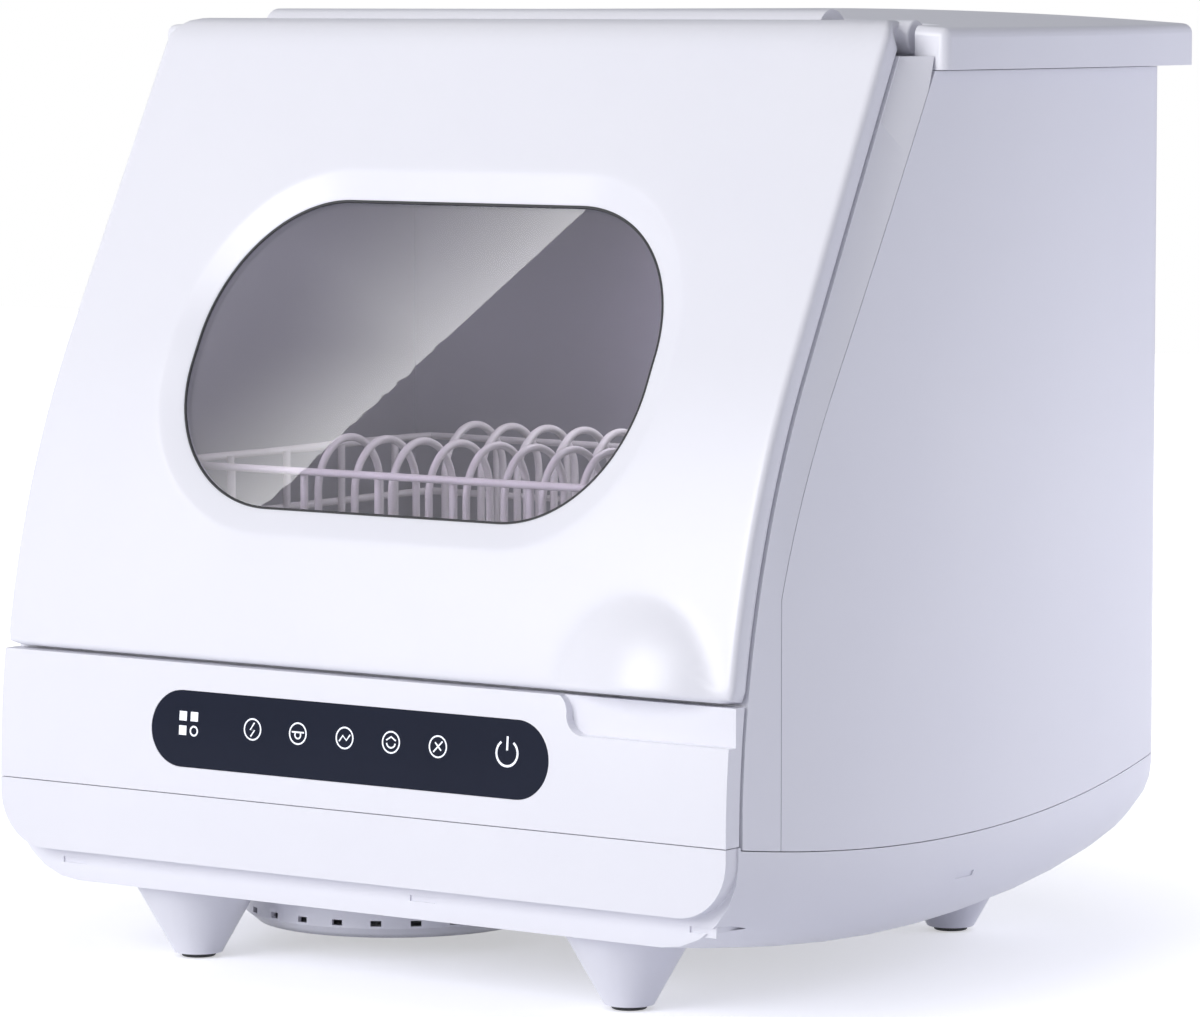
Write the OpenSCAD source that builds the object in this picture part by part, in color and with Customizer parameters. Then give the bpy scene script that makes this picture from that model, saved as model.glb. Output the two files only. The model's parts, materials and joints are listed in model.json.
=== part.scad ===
// Countertop dishwasher with a lift-up front lid, a built-in water tank and four cone legs.
// X runs to the right, Y to the back and Z up. The origin is on the table, under the middle.

/* [Body] */
// Height of the top of the hinge nose above the table
body_h = 430; // [410:1:450]
// Width across the bow of the side panels
body_w = 426; // [418:1:436]
// How far the flat front of lid, fascia and base stays inside the bow, on each side
face_in = 13; // [12:0.5:16]
// Depth from the foot of the front face to the back wall
body_d = 356; // [346:1:376]
// Wall thickness of the outer mouldings
wall = 2.5; // [2:0.1:3]
// Gap between neighbouring mouldings
gap = 0.4; // [0.3:0.05:0.6]

/* [Front face] */
// Radius of the front face, seen from the side
face_r = 430; // [410:5:460]
// Lean of the straight upper stretch of the face, in degrees
face_lean = 28; // [26:0.5:30]
// Height where the face stands upright, which is also the seam of fascia and base
seam_front_z = 81; // [76:1:84]
// Height of the lid's lower edge
lid_low_z = 141; // [138:1:146]
// Visible seam between the lid and the fascia
lid_seam = 1.4; // [1:0.1:2]
// Depth of the lid's and the fascia's side walls
edge_d = 10; // [9:0.5:12]
// Radius of the shoulder where the lid turns to the top
shoulder_r = 20; // [18:1:24]
// Radius of the lid's upper corners, seen from the front
lid_corner_r = 15; // [10:1:18]
// Distance behind the face of the crease between front post and side panel
crease_d = 24; // [22:1:28]
// Depth of the upright lower stretch of the crease
crease_y = 37; // [34:1:42]

/* [Lid] */
// Distance of the hinge axis behind the shoulder's centre
hinge_back = 11; // [10:0.5:13]
// Radius of the hinge nose on the top deck
nose_r = 12; // [12:0.5:14]
// Radius of the ears' barrels on the lid
ear_r = 7.5; // [7:0.5:8]
// Distance of an ear's inner end from the lid's side edge
ear_in = 44; // [40:1:50]
// Radius of the lid's hinge pins
lid_pin_r = 3; // [2.5:0.25:3.5]
// Running clearance of a pin in its bore
pin_play = 0.05; // [0.03:0.01:0.08]
// Width of the window opening
window_w = 252; // [240:2:262]
// Height of the middle of the window
window_z = 278; // [270:1:286]
// Height of the window opening, seen from the front
window_h = 136; // [126:2:140]
// Corner radius of the window opening
window_r = 62; // [50:1:63]
// Width of the sloping band round the window
bezel_w = 12; // [10:1:14]
// Depth of the pane behind the face
pane_d = 5; // [4.5:0.25:5.5]
// Thickness of the pane
pane_t = 3; // [2.5:0.25:3.5]
// Distance of the thumb dome's middle from the lid's side edge
dome_in = 49; // [46:1:60]
// Radius of the thumb dome's sphere
dome_r = 74; // [70:1:78]
// How far the thumb dome stands out
dome_out = 11; // [9:0.5:13]
// Depth of the dome's centre under the lid's lower edge
dome_drop = 9; // [6:1:12]

/* [Fascia] */
// Middle of the touch strip across the fascia
strip_x = -1.5; // [-10:0.5:6]
// Width of the touch strip
strip_w = 219; // [200:1:220]
// Height of the touch strip
strip_h = 34; // [30:1:36]
// Height of the middle of the touch strip
strip_z = 110.5; // [109:0.5:112]
// Thickness of the touch strip
strip_t = 1.5; // [1.2:0.1:2]
// Where the finger pocket starts across the fascia
pocket_x = 116; // [114:1:122]
// Height of the finger pocket's floor
pocket_z = 123; // [121:0.5:126]
// Depth of the finger pocket
pocket_d = 7.5; // [6:0.25:7.5]

/* [Base and side panels] */
// How much the side panels bow out over their front and back edges
bow = 10; // [8:1:12]
// Radius of the upright rear corners
corner_r = 14; // [12:1:18]
// Lowest height of the curved side seam
seam_low_z = 69; // [66:1:72]
// Depth at which the side seam is lowest
seam_mid_y = 160; // [150:2:170]
// Height of the hull's bottom
hull_low_z = 24; // [22:1:26]
// Radius of the hull's keel line, seen from the side
keel_r = 900; // [850:10:1000]
// Depth at which the keel line is lowest
keel_mid_y = 150; // [140:2:160]
// Radius of the hull's turn to the back wall
stern_r = 45; // [40:1:50]
// Radius of the hull's turn to the sides
bilge_r = 42; // [36:1:46]
// Height of the lower edge of the base's face
face_low_z = 50; // [48:1:54]
// Radius of the base face's lower corners
face_corner_r = 25; // [20:1:28]

/* [Legs] */
// Distance of a leg from the middle plane
leg_x = 120; // [110:1:130]
// Depth of the front legs
leg_front_y = 44; // [40:1:52]
// Depth of the rear legs
leg_rear_y = 306; // [296:1:312]
// Radius of a leg's lower end
leg_foot_r = 11; // [10:0.5:13]
// Radius of a leg at the hull
leg_top_r = 30; // [26:1:32]
// Height at which a leg has its full radius
leg_h = 36; // [34:1:40]
// Thickness of the foot pads
pad_t = 2; // [1.5:0.5:3]

/* [Top cover] */
// Height of the top cover's lower edge under the hinge axis
cover_drop = 14; // [13:0.5:15]
// Height of the crown over the cover's lower edge
cover_h = 26; // [24:0.5:27]
// Fall of the crown from the middle to the side edge
cover_fall = 8; // [6:0.5:12]
// How far the cover overhangs the side panels
cover_out = 6; // [4:0.5:7]
// How far the cover overhangs the back wall
cover_rear = 22; // [18:1:24]
// Distance of the cover's front edge behind the hinge nose
cover_back = 0.5; // [0.4:0.1:1]
// Depth of the front ends of the cover's two side horns, which run past the lid's ears
horn_y = 142; // [140:0.5:146]
// Radius of the cover's hinge pins
cover_pin_r = 2.5; // [2:0.25:3]

/* [Tub] */
// Room between the tub and the side edge of the flat front, on each side
tub_in = 20; // [19:0.5:25]
// Height of the tub floor's underside
tub_floor_z = 126; // [124:1:127]
// Depth of the tub's back wall
tub_rear_y = 288; // [280:1:290]
// Wall thickness of the tub
tub_t = 2; // [1.5:0.25:2.5]
// Radius of the tub's long edges
tub_corner_r = 24; // [18:1:28]
// Depth of the tub's front edge behind the face
tub_d = 22; // [20:0.5:24]
// Height of the sill over which the rack slides
sill_z = 158; // [154:1:159]
// Distance of the front opening's side from the tub's outside
mouth_in = 9; // [7:0.5:10]
// Radius of the front opening's corners, small enough to let the rack's shoes pass
mouth_r = 6; // [4:0.5:7]

/* [Rack] */
// Distance of the rack's side wires from the tub's outside
rack_in = 22; // [20:1:26]
// Depth of the rack's front
rack_front_y = 62; // [60:1:70]
// Depth of the rack's back
rack_rear_y = 272; // [262:1:276]
// Height of the rack's floor wires
rack_z = 168; // [167:0.5:172]
// Height of the rack's rim
rack_rim_z = 222; // [210:1:230]
// Radius of the rack's wires
wire_r = 1.75; // [1.5:0.25:2]
// Distance between the floor wires
wire_pitch = 21; // [18:1:26]
// Distance between the plate loops
loop_pitch = 21; // [18:1:24]
// Width of a plate loop
loop_w = 46; // [40:1:52]
// Height of a plate loop over the floor wires
loop_h = 66; // [56:1:70]
// Count of plate loops in a row
loop_count = 9; // [6:1:11]
// Distance between the two rows of plate loops
row_pitch = 96; // [90:1:100]

/* [Wash system] */
// Depth of the sump, the spray arm and the pumps' row
sump_y = 165; // [160:1:170]
// Radius of the sump's cup
sump_r = 38; // [34:1:40]
// Height of the sump's floor
sump_z = 62; // [58:1:64]
// Length of the spray arm
arm_l = 232; // [210:2:236]
// Height of the spray arm's underside
arm_z = 142; // [141:0.5:144]
// Thickness of the spray arm
arm_t = 9; // [8:0.5:10]
// Radius of the wash pump's volute
volute_r = 32; // [30:1:34]
// Height of the wash pump's axis
pump_z = 76; // [74:1:80]
// Radius of the heater's ring
heater_r = 78; // [70:1:84]
// Radius of the filter's cup
cup_r = 24; // [20:0.5:25]
// Depth of the filter's cup under the tub floor
cup_h = 30; // [26:1:32]

/* [Air system] */
// Middle of the round cover under the base, across
disc_x = -78; // [-84:1:-72]
// Middle of the round cover under the base, in depth
disc_y = 137; // [132:1:142]
// Radius of the round cover under the base
disc_r = 70; // [64:1:74]
// Height of the round cover's lower face
disc_z = 10; // [8:1:12]
// Radius of the fan's impeller
fan_r = 32; // [28:1:34]

/* [Fittings] */
// Height of the fittings on the back
fitting_z = 112; // [110:0.5:113]
// Outer radius of the water inlet's threaded end
inlet_r = 13.2; // [12:0.1:14]
// Outer radius of the drain spigot
drain_r = 9.5; // [8:0.25:11]
// How far the fittings stand out of the back wall
fitting_out = 13; // [10:0.5:16]
// Distance of the inlet and the power inlet from the side edge of the flat front
fitting_in = 50; // [46:1:56]
// Width of the control board's box
board_w = 96; // [90:1:100]
// Depth of the control board's box
board_l = 84; // [76:1:86]
// Distance of the control board's middle from the side edge of the flat front
board_in = 82; // [80:1:90]

/* [Hidden] */
$fn = 96;
// Steps in the long arcs: front face, bowed sides, side seam and crown
face_n = 28;
bow_n = 20;
seam_n = 30;
crown_n = 24;

// Colours
white = "#f2f2f8";
liner_grey = "#c9cad2";
steel = "#b9bcc2";
rubber = "#2b2c30";
smoke = "#3c3d44";
navy = "#1d2233";
nylon = "#e6e6e2";
board_green = "#2f6b46";
black = "#202126";

// Places that follow from the driving sizes
face_w = body_w - 2 * face_in;
tub_w = face_w - 2 * tub_in;
mouth_x = tub_w / 2 - mouth_in;
rack_x = tub_w / 2 - rack_in;
ear_in_x = face_w / 2 - ear_in;
dome_x = face_w / 2 - dome_in;
hinge_z = body_h - nose_r;
lid_top_z = hinge_z + ear_r;
shoulder_z = lid_top_z - shoulder_r;
foot_z = seam_front_z;
sky_z = body_h + 60;
turn_z = foot_z + face_r * sin(face_lean);
turn_y = face_r * (1 - cos(face_lean));
shoulder_y = turn_y + ((shoulder_z - turn_z) * sin(face_lean) + shoulder_r) / cos(face_lean);
hinge_y = shoulder_y + hinge_back;
seam_drop = seam_front_z - seam_low_z;
seam_r = (pow(seam_mid_y, 2) + pow(seam_drop, 2)) / (2 * seam_drop);
bow_mid_y = (crease_y + body_d) / 2;
bow_half = body_d - bow_mid_y;
bow_r = (pow(bow_half, 2) + pow(bow, 2)) / (2 * bow);
bow_c = body_w / 2 - bow_r;
corner_y = body_d - corner_r;
corner_x = bow_c + sqrt(pow(bow_r - corner_r, 2) - pow(corner_y - bow_mid_y, 2));
crease_x = bow_c + sqrt(pow(bow_r, 2) - pow(crease_y - bow_mid_y, 2));
post_x = face_w / 2 + 0.8;
cover_low_z = hinge_z - cover_drop;
panel_top_z = cover_low_z - gap;
deck_top_z = panel_top_z - wall;
deck_low_z = deck_top_z - wall;
tub_top_z = deck_low_z - 4;
cover_top_z = cover_low_z + cover_h;
cover_front_y = hinge_y + nose_r + cover_back;
cover_rear_y = body_d + cover_rear;
cover_w = body_w / 2 + cover_out;
notch_x = face_w / 2 + 1.5;
crown_r = (pow(cover_w, 2) + pow(cover_fall, 2)) / (2 * cover_fall);
cover_pin_y = body_d + 6;
cover_pin_z = cover_low_z + 4.5;
cover_pin_x = 120;
lug_r = 4.5;
lug_t = 8;
frame_d = edge_d + 1.2;
liner_d = edge_d - 0.3;
post_top_z = hinge_z - ear_r - 0.6;
floor_top_z = tub_floor_z + tub_t;
tank_front_y = tub_rear_y + 2;
tank_rear_y = body_d - wall - 1;
tank_low_z = floor_top_z;
tank_top_z = deck_low_z - 1;
tank_x = tub_w / 2 - 2;
filler_y = (tank_front_y + tank_rear_y) / 2;
neck_r = 24;
neck_top_z = deck_top_z + 6;
strainer_depth = 38;
hull_r = keel_r - stern_r;
stern_y = body_d - stern_r;
stern_z = hull_low_z + keel_r - sqrt(pow(hull_r, 2) - pow(stern_y - keel_mid_y, 2));
keel_y = keel_mid_y + (stern_y - keel_mid_y) * keel_r / hull_r;
rear_seam_z = seam_z(body_d);
hull_front_y = edge_d - 1.5;
hull_top_z = seam_front_z + 30;
screw_r = 2;
slit_z = 43;
slit_w = 14;
slit_h = 2.6;
slit_side_y = 166;
fan_x = disc_x - 2;
fan_low_z = 34;
fan_high_z = 62;
volute_x = sump_r + 6;
volute_t = 22;
motor_l = 58;
motor_r = 28;
drain_in = 18;
drain_y = sump_y + sump_r + drain_in + gap;
drain_z = 74;
rail_z = rack_z - wire_r * 2 - gap;
glide_h = 5;
spindle_r = 6;
spindle_low_z = floor_top_z - cup_h + 2.2;
arm_hub_r = 16;
pad_r = leg_foot_r - 2.5;
fitting_x = face_w / 2 - fitting_in;
valve_y = body_d - 32;
tank_out_x = -fitting_x + 30;
drain_x = -fitting_x + 44;
drain_tail = 20;
outlet_top_z = pump_z + 29.6;
drain_top_z = drain_z + 24;
feed_z = tub_floor_z - 10.5;
supply_z = 90;
hose_bend = 14;
duct_x = -tub_w / 2 - 22;
duct_y = disc_y;
duct_w = 34;
duct_top_z = 340;
duct_turn_x = duct_x + 14;
duct_turn_z = fan_low_z + 12;
board_x = face_w / 2 - board_in;
board_y = leg_rear_y - 52;
board_z = 44;
liner_top_z = shoulder_z - 10;
pin_end_x = face_w / 2 - 12;
bezel_n = 64;
cover_corner_r = 6;
bend_z = foot_z + sqrt(pow(face_r - crease_d, 2) - pow(face_r - crease_y, 2));
skin_low_z = seam_low_z - 10;
skin_low_n = 6;
skin_top_n = 16;
dome_z = lid_low_z - dome_drop;
dome_y = front_y(dome_z) + dome_r - dome_out;
dome_front_y = dome_y - sqrt(pow(dome_r, 2) - pow(dome_drop + lid_seam / 2, 2));
mid_y = (cover_rear_y + dome_front_y) / 2;

// Depth of the face at a height, on its round stretch
function face_y(z) = face_r - sqrt(pow(face_r, 2) - pow(max(z, foot_z) - foot_z, 2));
// Depth of the face at any height under the shoulder
function front_y(z) = z < turn_z ? face_y(z) : turn_y + (z - turn_z) * tan(face_lean);
// Height of the side seam at a depth
function seam_z(y) = seam_low_z + seam_r - sqrt(pow(seam_r, 2) - pow(y - seam_mid_y, 2));
// Height of the hull's underside at a depth
function keel_z(y) = hull_low_z + keel_r - sqrt(pow(keel_r, 2) - pow(y - keel_mid_y, 2));
// Point at the top of the face's round stretch, at a distance behind the face
function turn_pt(d) = [face_r - (face_r - d) * cos(face_lean), foot_z + (face_r - d) * sin(face_lean)];
// Depth of the surface that lies d behind the face, at a height
function deep_y(z, d) =
    z < turn_pt(d)[1] ? face_r - sqrt(pow(face_r - d, 2) - pow(max(z, foot_z) - foot_z, 2))
    : turn_pt(d)[0] + (z - turn_pt(d)[1]) * tan(face_lean);
// Half width of the bowed side at a depth
function bow_x(y) = bow_c + sqrt(pow(bow_r, 2) - pow(y - bow_mid_y, 2));
// Depth of the crease at a height, in front of the cover's horns
function crease_at(z) = min(max(crease_y, deep_y(z, crease_d)), horn_y - gap);

// ---- Shapes in the plane ----

// Points along an arc from angle a0 to a1, in n steps
function arc(c, r, a0, a1, n) = [for (i = [0:n]) let (a = a0 + (a1 - a0) * i / n) c + r * [cos(a), sin(a)]];
// The same outline on the left, so that right side and left side make one loop
function mirrored(pts) = concat(pts, [for (i = [len(pts) - 1:-1:0]) [-pts[i][0], pts[i][1]]]);

// Closed solid through equal loops of points
module loft(loops) {
    n = len(loops[0]);
    m = len(loops);
    polyhedron(
        points = [for (l = loops) for (p = l) p],
        faces = concat(
            [[for (i = [n - 1:-1:0]) i], [for (i = [0:n - 1]) (m - 1) * n + i]],
            [for (k = [0:m - 2], i = [0:n - 1])
                let (a = k * n + i, b = k * n + (i + 1) % n)
                each [[a, b, b + n], [a, b + n, a + n]]]));
}

// Flat slices pushed out along X, Y or Z between two places
module slab_x(x0, x1) translate([x0, 0, 0]) rotate([90, 0, 90]) linear_extrude(x1 - x0) children();
module slab_y(y0, y1) translate([0, y1, 0]) rotate([90, 0, 0]) linear_extrude(y1 - y0) children();
module slab_z(z0, z1) translate([0, 0, z0]) linear_extrude(z1 - z0) children();

module box(a, b) translate(a) cube(b - a);
module rod_x(x0, x1, r) translate([x0, 0, 0]) rotate([0, 90, 0]) cylinder(r = r, h = x1 - x0);
module rod_y(y0, y1, r) translate([0, y1, 0]) rotate([90, 0, 0]) cylinder(r = r, h = y1 - y0);
module both_sides() for (s = [0, 1]) mirror([s, 0, 0]) children();

// Everything is drawn with the foot of the face at y = 0 and set over the origin here
module placed() translate([0, -mid_y, 0]) children();

// Rectangle with round corners
module round_rect(w, h, r) {
    square([w - 2 * r, h], center = true);
    square([w, h - 2 * r], center = true);
    for (sx = [-1, 1], sz = [-1, 1]) translate([sx * (w / 2 - r), sz * (h / 2 - r)]) circle(r = r);
}

// Side view of everything that lies at least d behind the front face, between two heights
module behind_face(d, low, top, back) intersection() {
    polygon(concat(
        [[d, 0]],
        arc([face_r, foot_z], face_r - d, 180, 180 - face_lean, face_n),
        [turn_pt(d) + (sky_z - turn_pt(d)[1]) * [tan(face_lean), 1], [back, sky_z], [back, 0]]));
    translate([-50, low]) square([body_d * 3, top - low]);
}

// Side view of the lid, with its shoulder
module lid_side(d) {
    c = [shoulder_y, shoulder_z];
    polygon(concat(
        [[d, 0]],
        arc([face_r, foot_z], face_r - d, 180, 180 - face_lean, face_n),
        arc(c, shoulder_r - d, 180 - face_lean, 90, 10),
        [[hinge_y, lid_top_z - d], [hinge_y, 0]]));
}

// Side views above and below the curved seam
module above_seam() polygon(concat(seam_line(gap / 2), [[body_d + 40, sky_z], [-40, sky_z]]));
module below_seam() polygon(concat(seam_line(-gap / 2), [[body_d + 40, 0], [-40, 0]]));
function seam_line(lift) = [for (i = [0:seam_n]) let (y = -40 + (body_d + 80) * i / seam_n) [y, seam_z(y) + lift]];

// Plan outline with bowed sides and round rear corners
module bow_outline(grow, front, rear, rc) {
    r = bow_r + grow;
    cy = rear - rc;
    cx = bow_c + sqrt(pow(r - rc, 2) - pow(cy - bow_mid_y, 2));
    turn = asin((cy - bow_mid_y) / (r - rc));
    polygon(mirrored(concat(
        arc([bow_c, bow_mid_y], r, asin((front - bow_mid_y) / r), turn, bow_n),
        arc([cx, cy], rc, turn, 90, 8))));
}
// Plan view of the body behind the crease
module bow_plan(inset, front) bow_outline(-inset, front, body_d - inset, corner_r - inset);

// Half width of the hull at a depth, drawn in by inset
function hull_half(y, inset) =
    let (ray = (corner_y - bow_mid_y) / (bow_r - corner_r), r = corner_r - inset)
    y <= crease_y ? post_x - inset + (crease_x - post_x) * max(0, y - frame_d) / (crease_y - frame_d)
    : y < corner_y + r * ray ? bow_c + sqrt(pow(bow_r - inset, 2) - pow(y - bow_mid_y, 2))
    : corner_x + sqrt(max(0, pow(r, 2) - pow(y - corner_y, 2)));
// Height of the hull's underside at a depth, drawn in by inset
function hull_low(y, inset) =
    let (ray = (stern_y - keel_mid_y) / hull_r, r = stern_r - inset)
    y < stern_y + r * ray ? hull_low_z + keel_r - sqrt(pow(keel_r - inset, 2) - pow(y - keel_mid_y, 2))
    : stern_z - sqrt(max(0, pow(r, 2) - pow(y - stern_y, 2)));
// Radius of the turn from the underside to the side at a depth
function hull_turn(y) = max(2, min(bilge_r, seam_z(y) - 5 - hull_low(y, 0)));
// Cross-section of the hull at a depth: both turns and the open top
function hull_section(y, inset) =
    let (w = hull_half(y, inset), z = hull_low(y, inset), r = max(1, hull_turn(y) - inset),
        right = arc([w - r, z + r], r, -90, 0, 6))
    [for (p = mirrored(concat(right, [[w, hull_top_z]]))) [p[0], y, p[1]]];
// Depths of the cross-sections, closer together in the turn to the back wall
function hull_depths(inset) = concat(
    [hull_front_y + inset, frame_d + 0.3, crease_y],
    [for (i = [1:7]) crease_y + (stern_y - crease_y) * i / 8],
    [for (a = [0:10:80]) stern_y + (stern_r - inset) * sin(a)],
    [body_d - inset]);
// Outer form of the hull, drawn in by inset
module hull_form(inset) loft([for (y = hull_depths(inset)) hull_section(y, inset)]);

// ---- Base ----

module face_outline(low, high, r) {
    translate([-face_w / 2 + r, low]) square([face_w - 2 * r, high - low]);
    translate([-face_w / 2, low + r]) square([face_w, high - low - r]);
    both_sides() translate([face_w / 2 - r, low + r]) circle(r = r);
}

module base_shell() {
    difference() {
        union() {
            hull_form(0);
            slab_y(0, edge_d) face_outline(face_low_z, seam_front_z, face_corner_r);
        }
        hull_form(wall);
        intersection() {
            slab_y(wall, edge_d + 3) offset_face();
            box([-face_w, 0, face_low_z + wall], [face_w, 40, seam_front_z + 10]);
        }
        slab_x(-body_w, body_w) above_base();
    }
    intersection() {
        hull_form(0.2);
        for (p = boss_places) translate([p[0], p[1], 0]) cylinder(r = p[2], h = p[3]);
    }
}

// What lies over the base: the side seam, and the straight seam in front
module above_base() polygon(concat(
    [[-40, seam_front_z - gap / 2], [edge_d, seam_front_z - gap / 2], [edge_d, seam_z(edge_d) - gap / 2]],
    [for (p = seam_line(-gap / 2)) if (p[0] > edge_d) p],
    [[body_d + 40, sky_z], [-40, sky_z]]));

// Inner outline of the base's hollow face
module offset_face() {
    r = face_corner_r - wall;
    translate([-face_w / 2 + wall + r, face_low_z + wall]) square([face_w - 2 * wall - 2 * r, 80]);
    translate([-face_w / 2 + wall, face_low_z + wall + r]) square([face_w - 2 * wall, 80]);
    both_sides() translate([face_w / 2 - wall - r, face_low_z + wall + r]) circle(r = r);
}

// Bosses on the base's floor: across, depth, radius, top
boss_places = [
    [0, sump_y, 9, sump_z - gap],
    [-leg_x, leg_front_y, 7, keel_z(leg_front_y) + 12],
    [leg_x, leg_front_y, 7, keel_z(leg_front_y) + 12],
    [-leg_x, leg_rear_y, 7, keel_z(leg_rear_y) + 12],
    [leg_x, leg_rear_y, 7, keel_z(leg_rear_y) + 12],
    [volute_x + volute_t + motor_l * 0.3, sump_y, 7, pump_z - motor_r - gap],
    [volute_x + volute_t + motor_l * 0.8, sump_y, 7, pump_z - motor_r - gap],
    [0, drain_y, 6, drain_z - 20 - gap],
    [fan_x, disc_y - fan_r - 8, 5, fan_low_z - gap],
    [fan_x, disc_y + fan_r + 8, 5, fan_low_z - gap],
    [-fitting_x, valve_y, 6, fitting_z - 14 - gap],
    [board_x - 30, board_y, 5, board_z - gap],
    [board_x + 30, board_y, 5, board_z - gap]
];

module base_tray() color(white) placed() difference() {
    base_shell();
    // air holes over the round cover
    for (a = [0:45:315]) translate([disc_x + 22 * cos(a), disc_y + 22 * sin(a), 0]) cylinder(r = 6, h = 60);
    translate([disc_x, disc_y, 0]) cylinder(r = 8, h = 60);
    // leg screws
    for (sx = [-1, 1], y = [leg_front_y, leg_rear_y]) translate([sx * leg_x, y, 0]) cylinder(r = screw_r + 0.1, h = 100);
    // drain slits in the lower band
    for (x = [-163, 35, 183]) translate([x - slit_w / 2, 0, slit_z]) cube([slit_w, 30, slit_h]);
    translate([body_w / 2 - 60, slit_side_y, slit_z + 6]) cube([60, slit_w, slit_h]);
}

module leg(x, y) placed() difference() {
    union() {
        translate([x, y, pad_t]) cylinder(r1 = leg_foot_r, r2 = leg_top_r, h = leg_h - pad_t);
        translate([x, y, leg_h]) cylinder(r = leg_top_r, h = 20);
    }
    hull_form(-0.05);
    translate([x, y, -1]) cylinder(r = screw_r + 0.1, h = 100);
    translate([x, y, -1]) cylinder(r = 5, h = 15);
}
module leg_front_left() color(white) leg(-leg_x, leg_front_y);
module leg_front_right() color(white) leg(leg_x, leg_front_y);
module leg_rear_left() color(white) leg(-leg_x, leg_rear_y);
module leg_rear_right() color(white) leg(leg_x, leg_rear_y);

module foot_pads() color(rubber) placed()
    for (sx = [-1, 1], y = [leg_front_y, leg_rear_y]) translate([sx * leg_x, y, 0]) difference() {
        union() {
            cylinder(r1 = pad_r - 1, r2 = pad_r, h = pad_t);
            cylinder(r = 5 - 0.1, h = pad_t + 4);
        }
        translate([0, 0, -1]) cylinder(r = 2.6, h = 20);
    }

// Round louvred cover under the base
module vent_disc() color(white) placed() difference() {
    union() {
        translate([disc_x, disc_y, disc_z]) rotate_extrude() polygon([
            [0, 0], [disc_r - 6, 0], [disc_r, 5], [disc_r, 40], [disc_r - wall, 40],
            [disc_r - wall, 6], [disc_r - 7, wall], [0, wall]]);
        for (a = [60, 180, 300]) translate([disc_x + 40 * cos(a), disc_y + 40 * sin(a), disc_z + 1])
            cylinder(r = 5, h = 40);
    }
    hull_form(-0.05);
    for (a = [0:15:345]) translate([disc_x, disc_y, disc_z + 6]) rotate([0, 0, a])
        translate([disc_r - 8, -2.5, 0]) cube([12, 5, 2.6]);
    for (r = [12, 22, 32]) for (a = [0:360 / (r / 2):359]) translate([disc_x, disc_y, 0]) rotate([0, 0, a])
        translate([r, 0, disc_z - 1]) cylinder(r = 1.6, h = 10);
}

// ---- Side, back and front ----

module side_panel() intersection() {
    slab_z(seam_low_z - 5, panel_top_z) difference() {
        bow_plan(0, crease_y + gap);
        bow_plan(wall, crease_y - 5);
        translate([-body_w, 0]) square([body_w + corner_x, body_d * 2]);
    }
    slab_x(0, body_w) intersection() {
        behind_face(crease_d + gap, seam_low_z - 10, panel_top_z, body_d + 10);
        above_seam();
    }
}
module side_panel_right() color(white) placed() side_panel();
module side_panel_left() color(white) placed() mirror([1, 0, 0]) side_panel();

module back_panel() color(white) placed() difference() {
    box([-corner_x + gap, body_d - wall, rear_seam_z + gap], [corner_x - gap, body_d, panel_top_z]);
    // exhaust grille
    for (i = [-8:8]) translate([20 + i * 8, body_d, fitting_z - 4]) hull_slot();
    // spigots and power inlet
    translate([-fitting_x, 0, fitting_z]) rod_y(body_d - 10, body_d + 10, inlet_r + 0.1);
    translate([drain_x, 0, fitting_z]) rod_y(body_d - 10, body_d + 10, drain_r + 0.1);
    box([fitting_x - 14, body_d - 10, fitting_z - 10], [fitting_x + 14, body_d + 10, fitting_z + 10]);
    for (x = [-corner_x + 10, corner_x - 10], z = [rear_seam_z + 12, panel_top_z - 12])
        translate([x, 0, z]) rod_y(body_d - 10, body_d + 10, screw_r + 0.1);
}
module hull_slot() {
    translate([-2, -10, -12]) cube([4, 20, 24]);
    for (z = [-12, 12]) translate([0, 0, z]) rod_y(-10, 10, 2);
}

// Side view of a front post, with the flat head under the lid's ear
module post_side() {
    difference() {
        intersection() {
            behind_face(frame_d, seam_low_z - 10, post_top_z, hinge_y + ear_r);
            above_seam();
        }
        behind_face(crease_d, seam_low_z - 20, panel_top_z, body_d);
    }
    intersection() {
        behind_face(frame_d, lid_low_z, post_top_z, hinge_y + ear_r);
        translate([shoulder_y - 10, panel_top_z - 8]) square([hinge_back + 10 + ear_r, 40]);
    }
    // the crease drops straight down under its bend
    intersection() {
        translate([frame_d, seam_low_z - 10]) square([crease_y - frame_d, foot_z + 120 - seam_low_z]);
        behind_face(frame_d, seam_low_z - 10, post_top_z, body_d);
        above_seam();
    }
}

// Cross-section of a post's slanted skin, from the lid's edge out to the crease
function skin_section(z) =
    let (y0 = deep_y(z, frame_d + 0.6), y1 = crease_at(z), x0 = post_x - 1)
    [for (p = [[x0, y0 + 1], [x0, y1 - 1.5], [bow_x(y1), y1], [post_x - 0.1, y0]]) [p[0], p[1], z]];
// Heights of the cross-sections under and over the crease's bend
skin_zs = concat(
    [for (i = [0:skin_low_n]) skin_low_z + (bend_z - skin_low_z) * i / skin_low_n],
    [for (i = [1:skin_top_n]) bend_z + (post_top_z - bend_z) * i / skin_top_n]);
module post_skin() intersection() {
    loft([for (z = skin_zs) skin_section(z)]);
    slab_x(0, body_w) above_seam();
}

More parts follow.
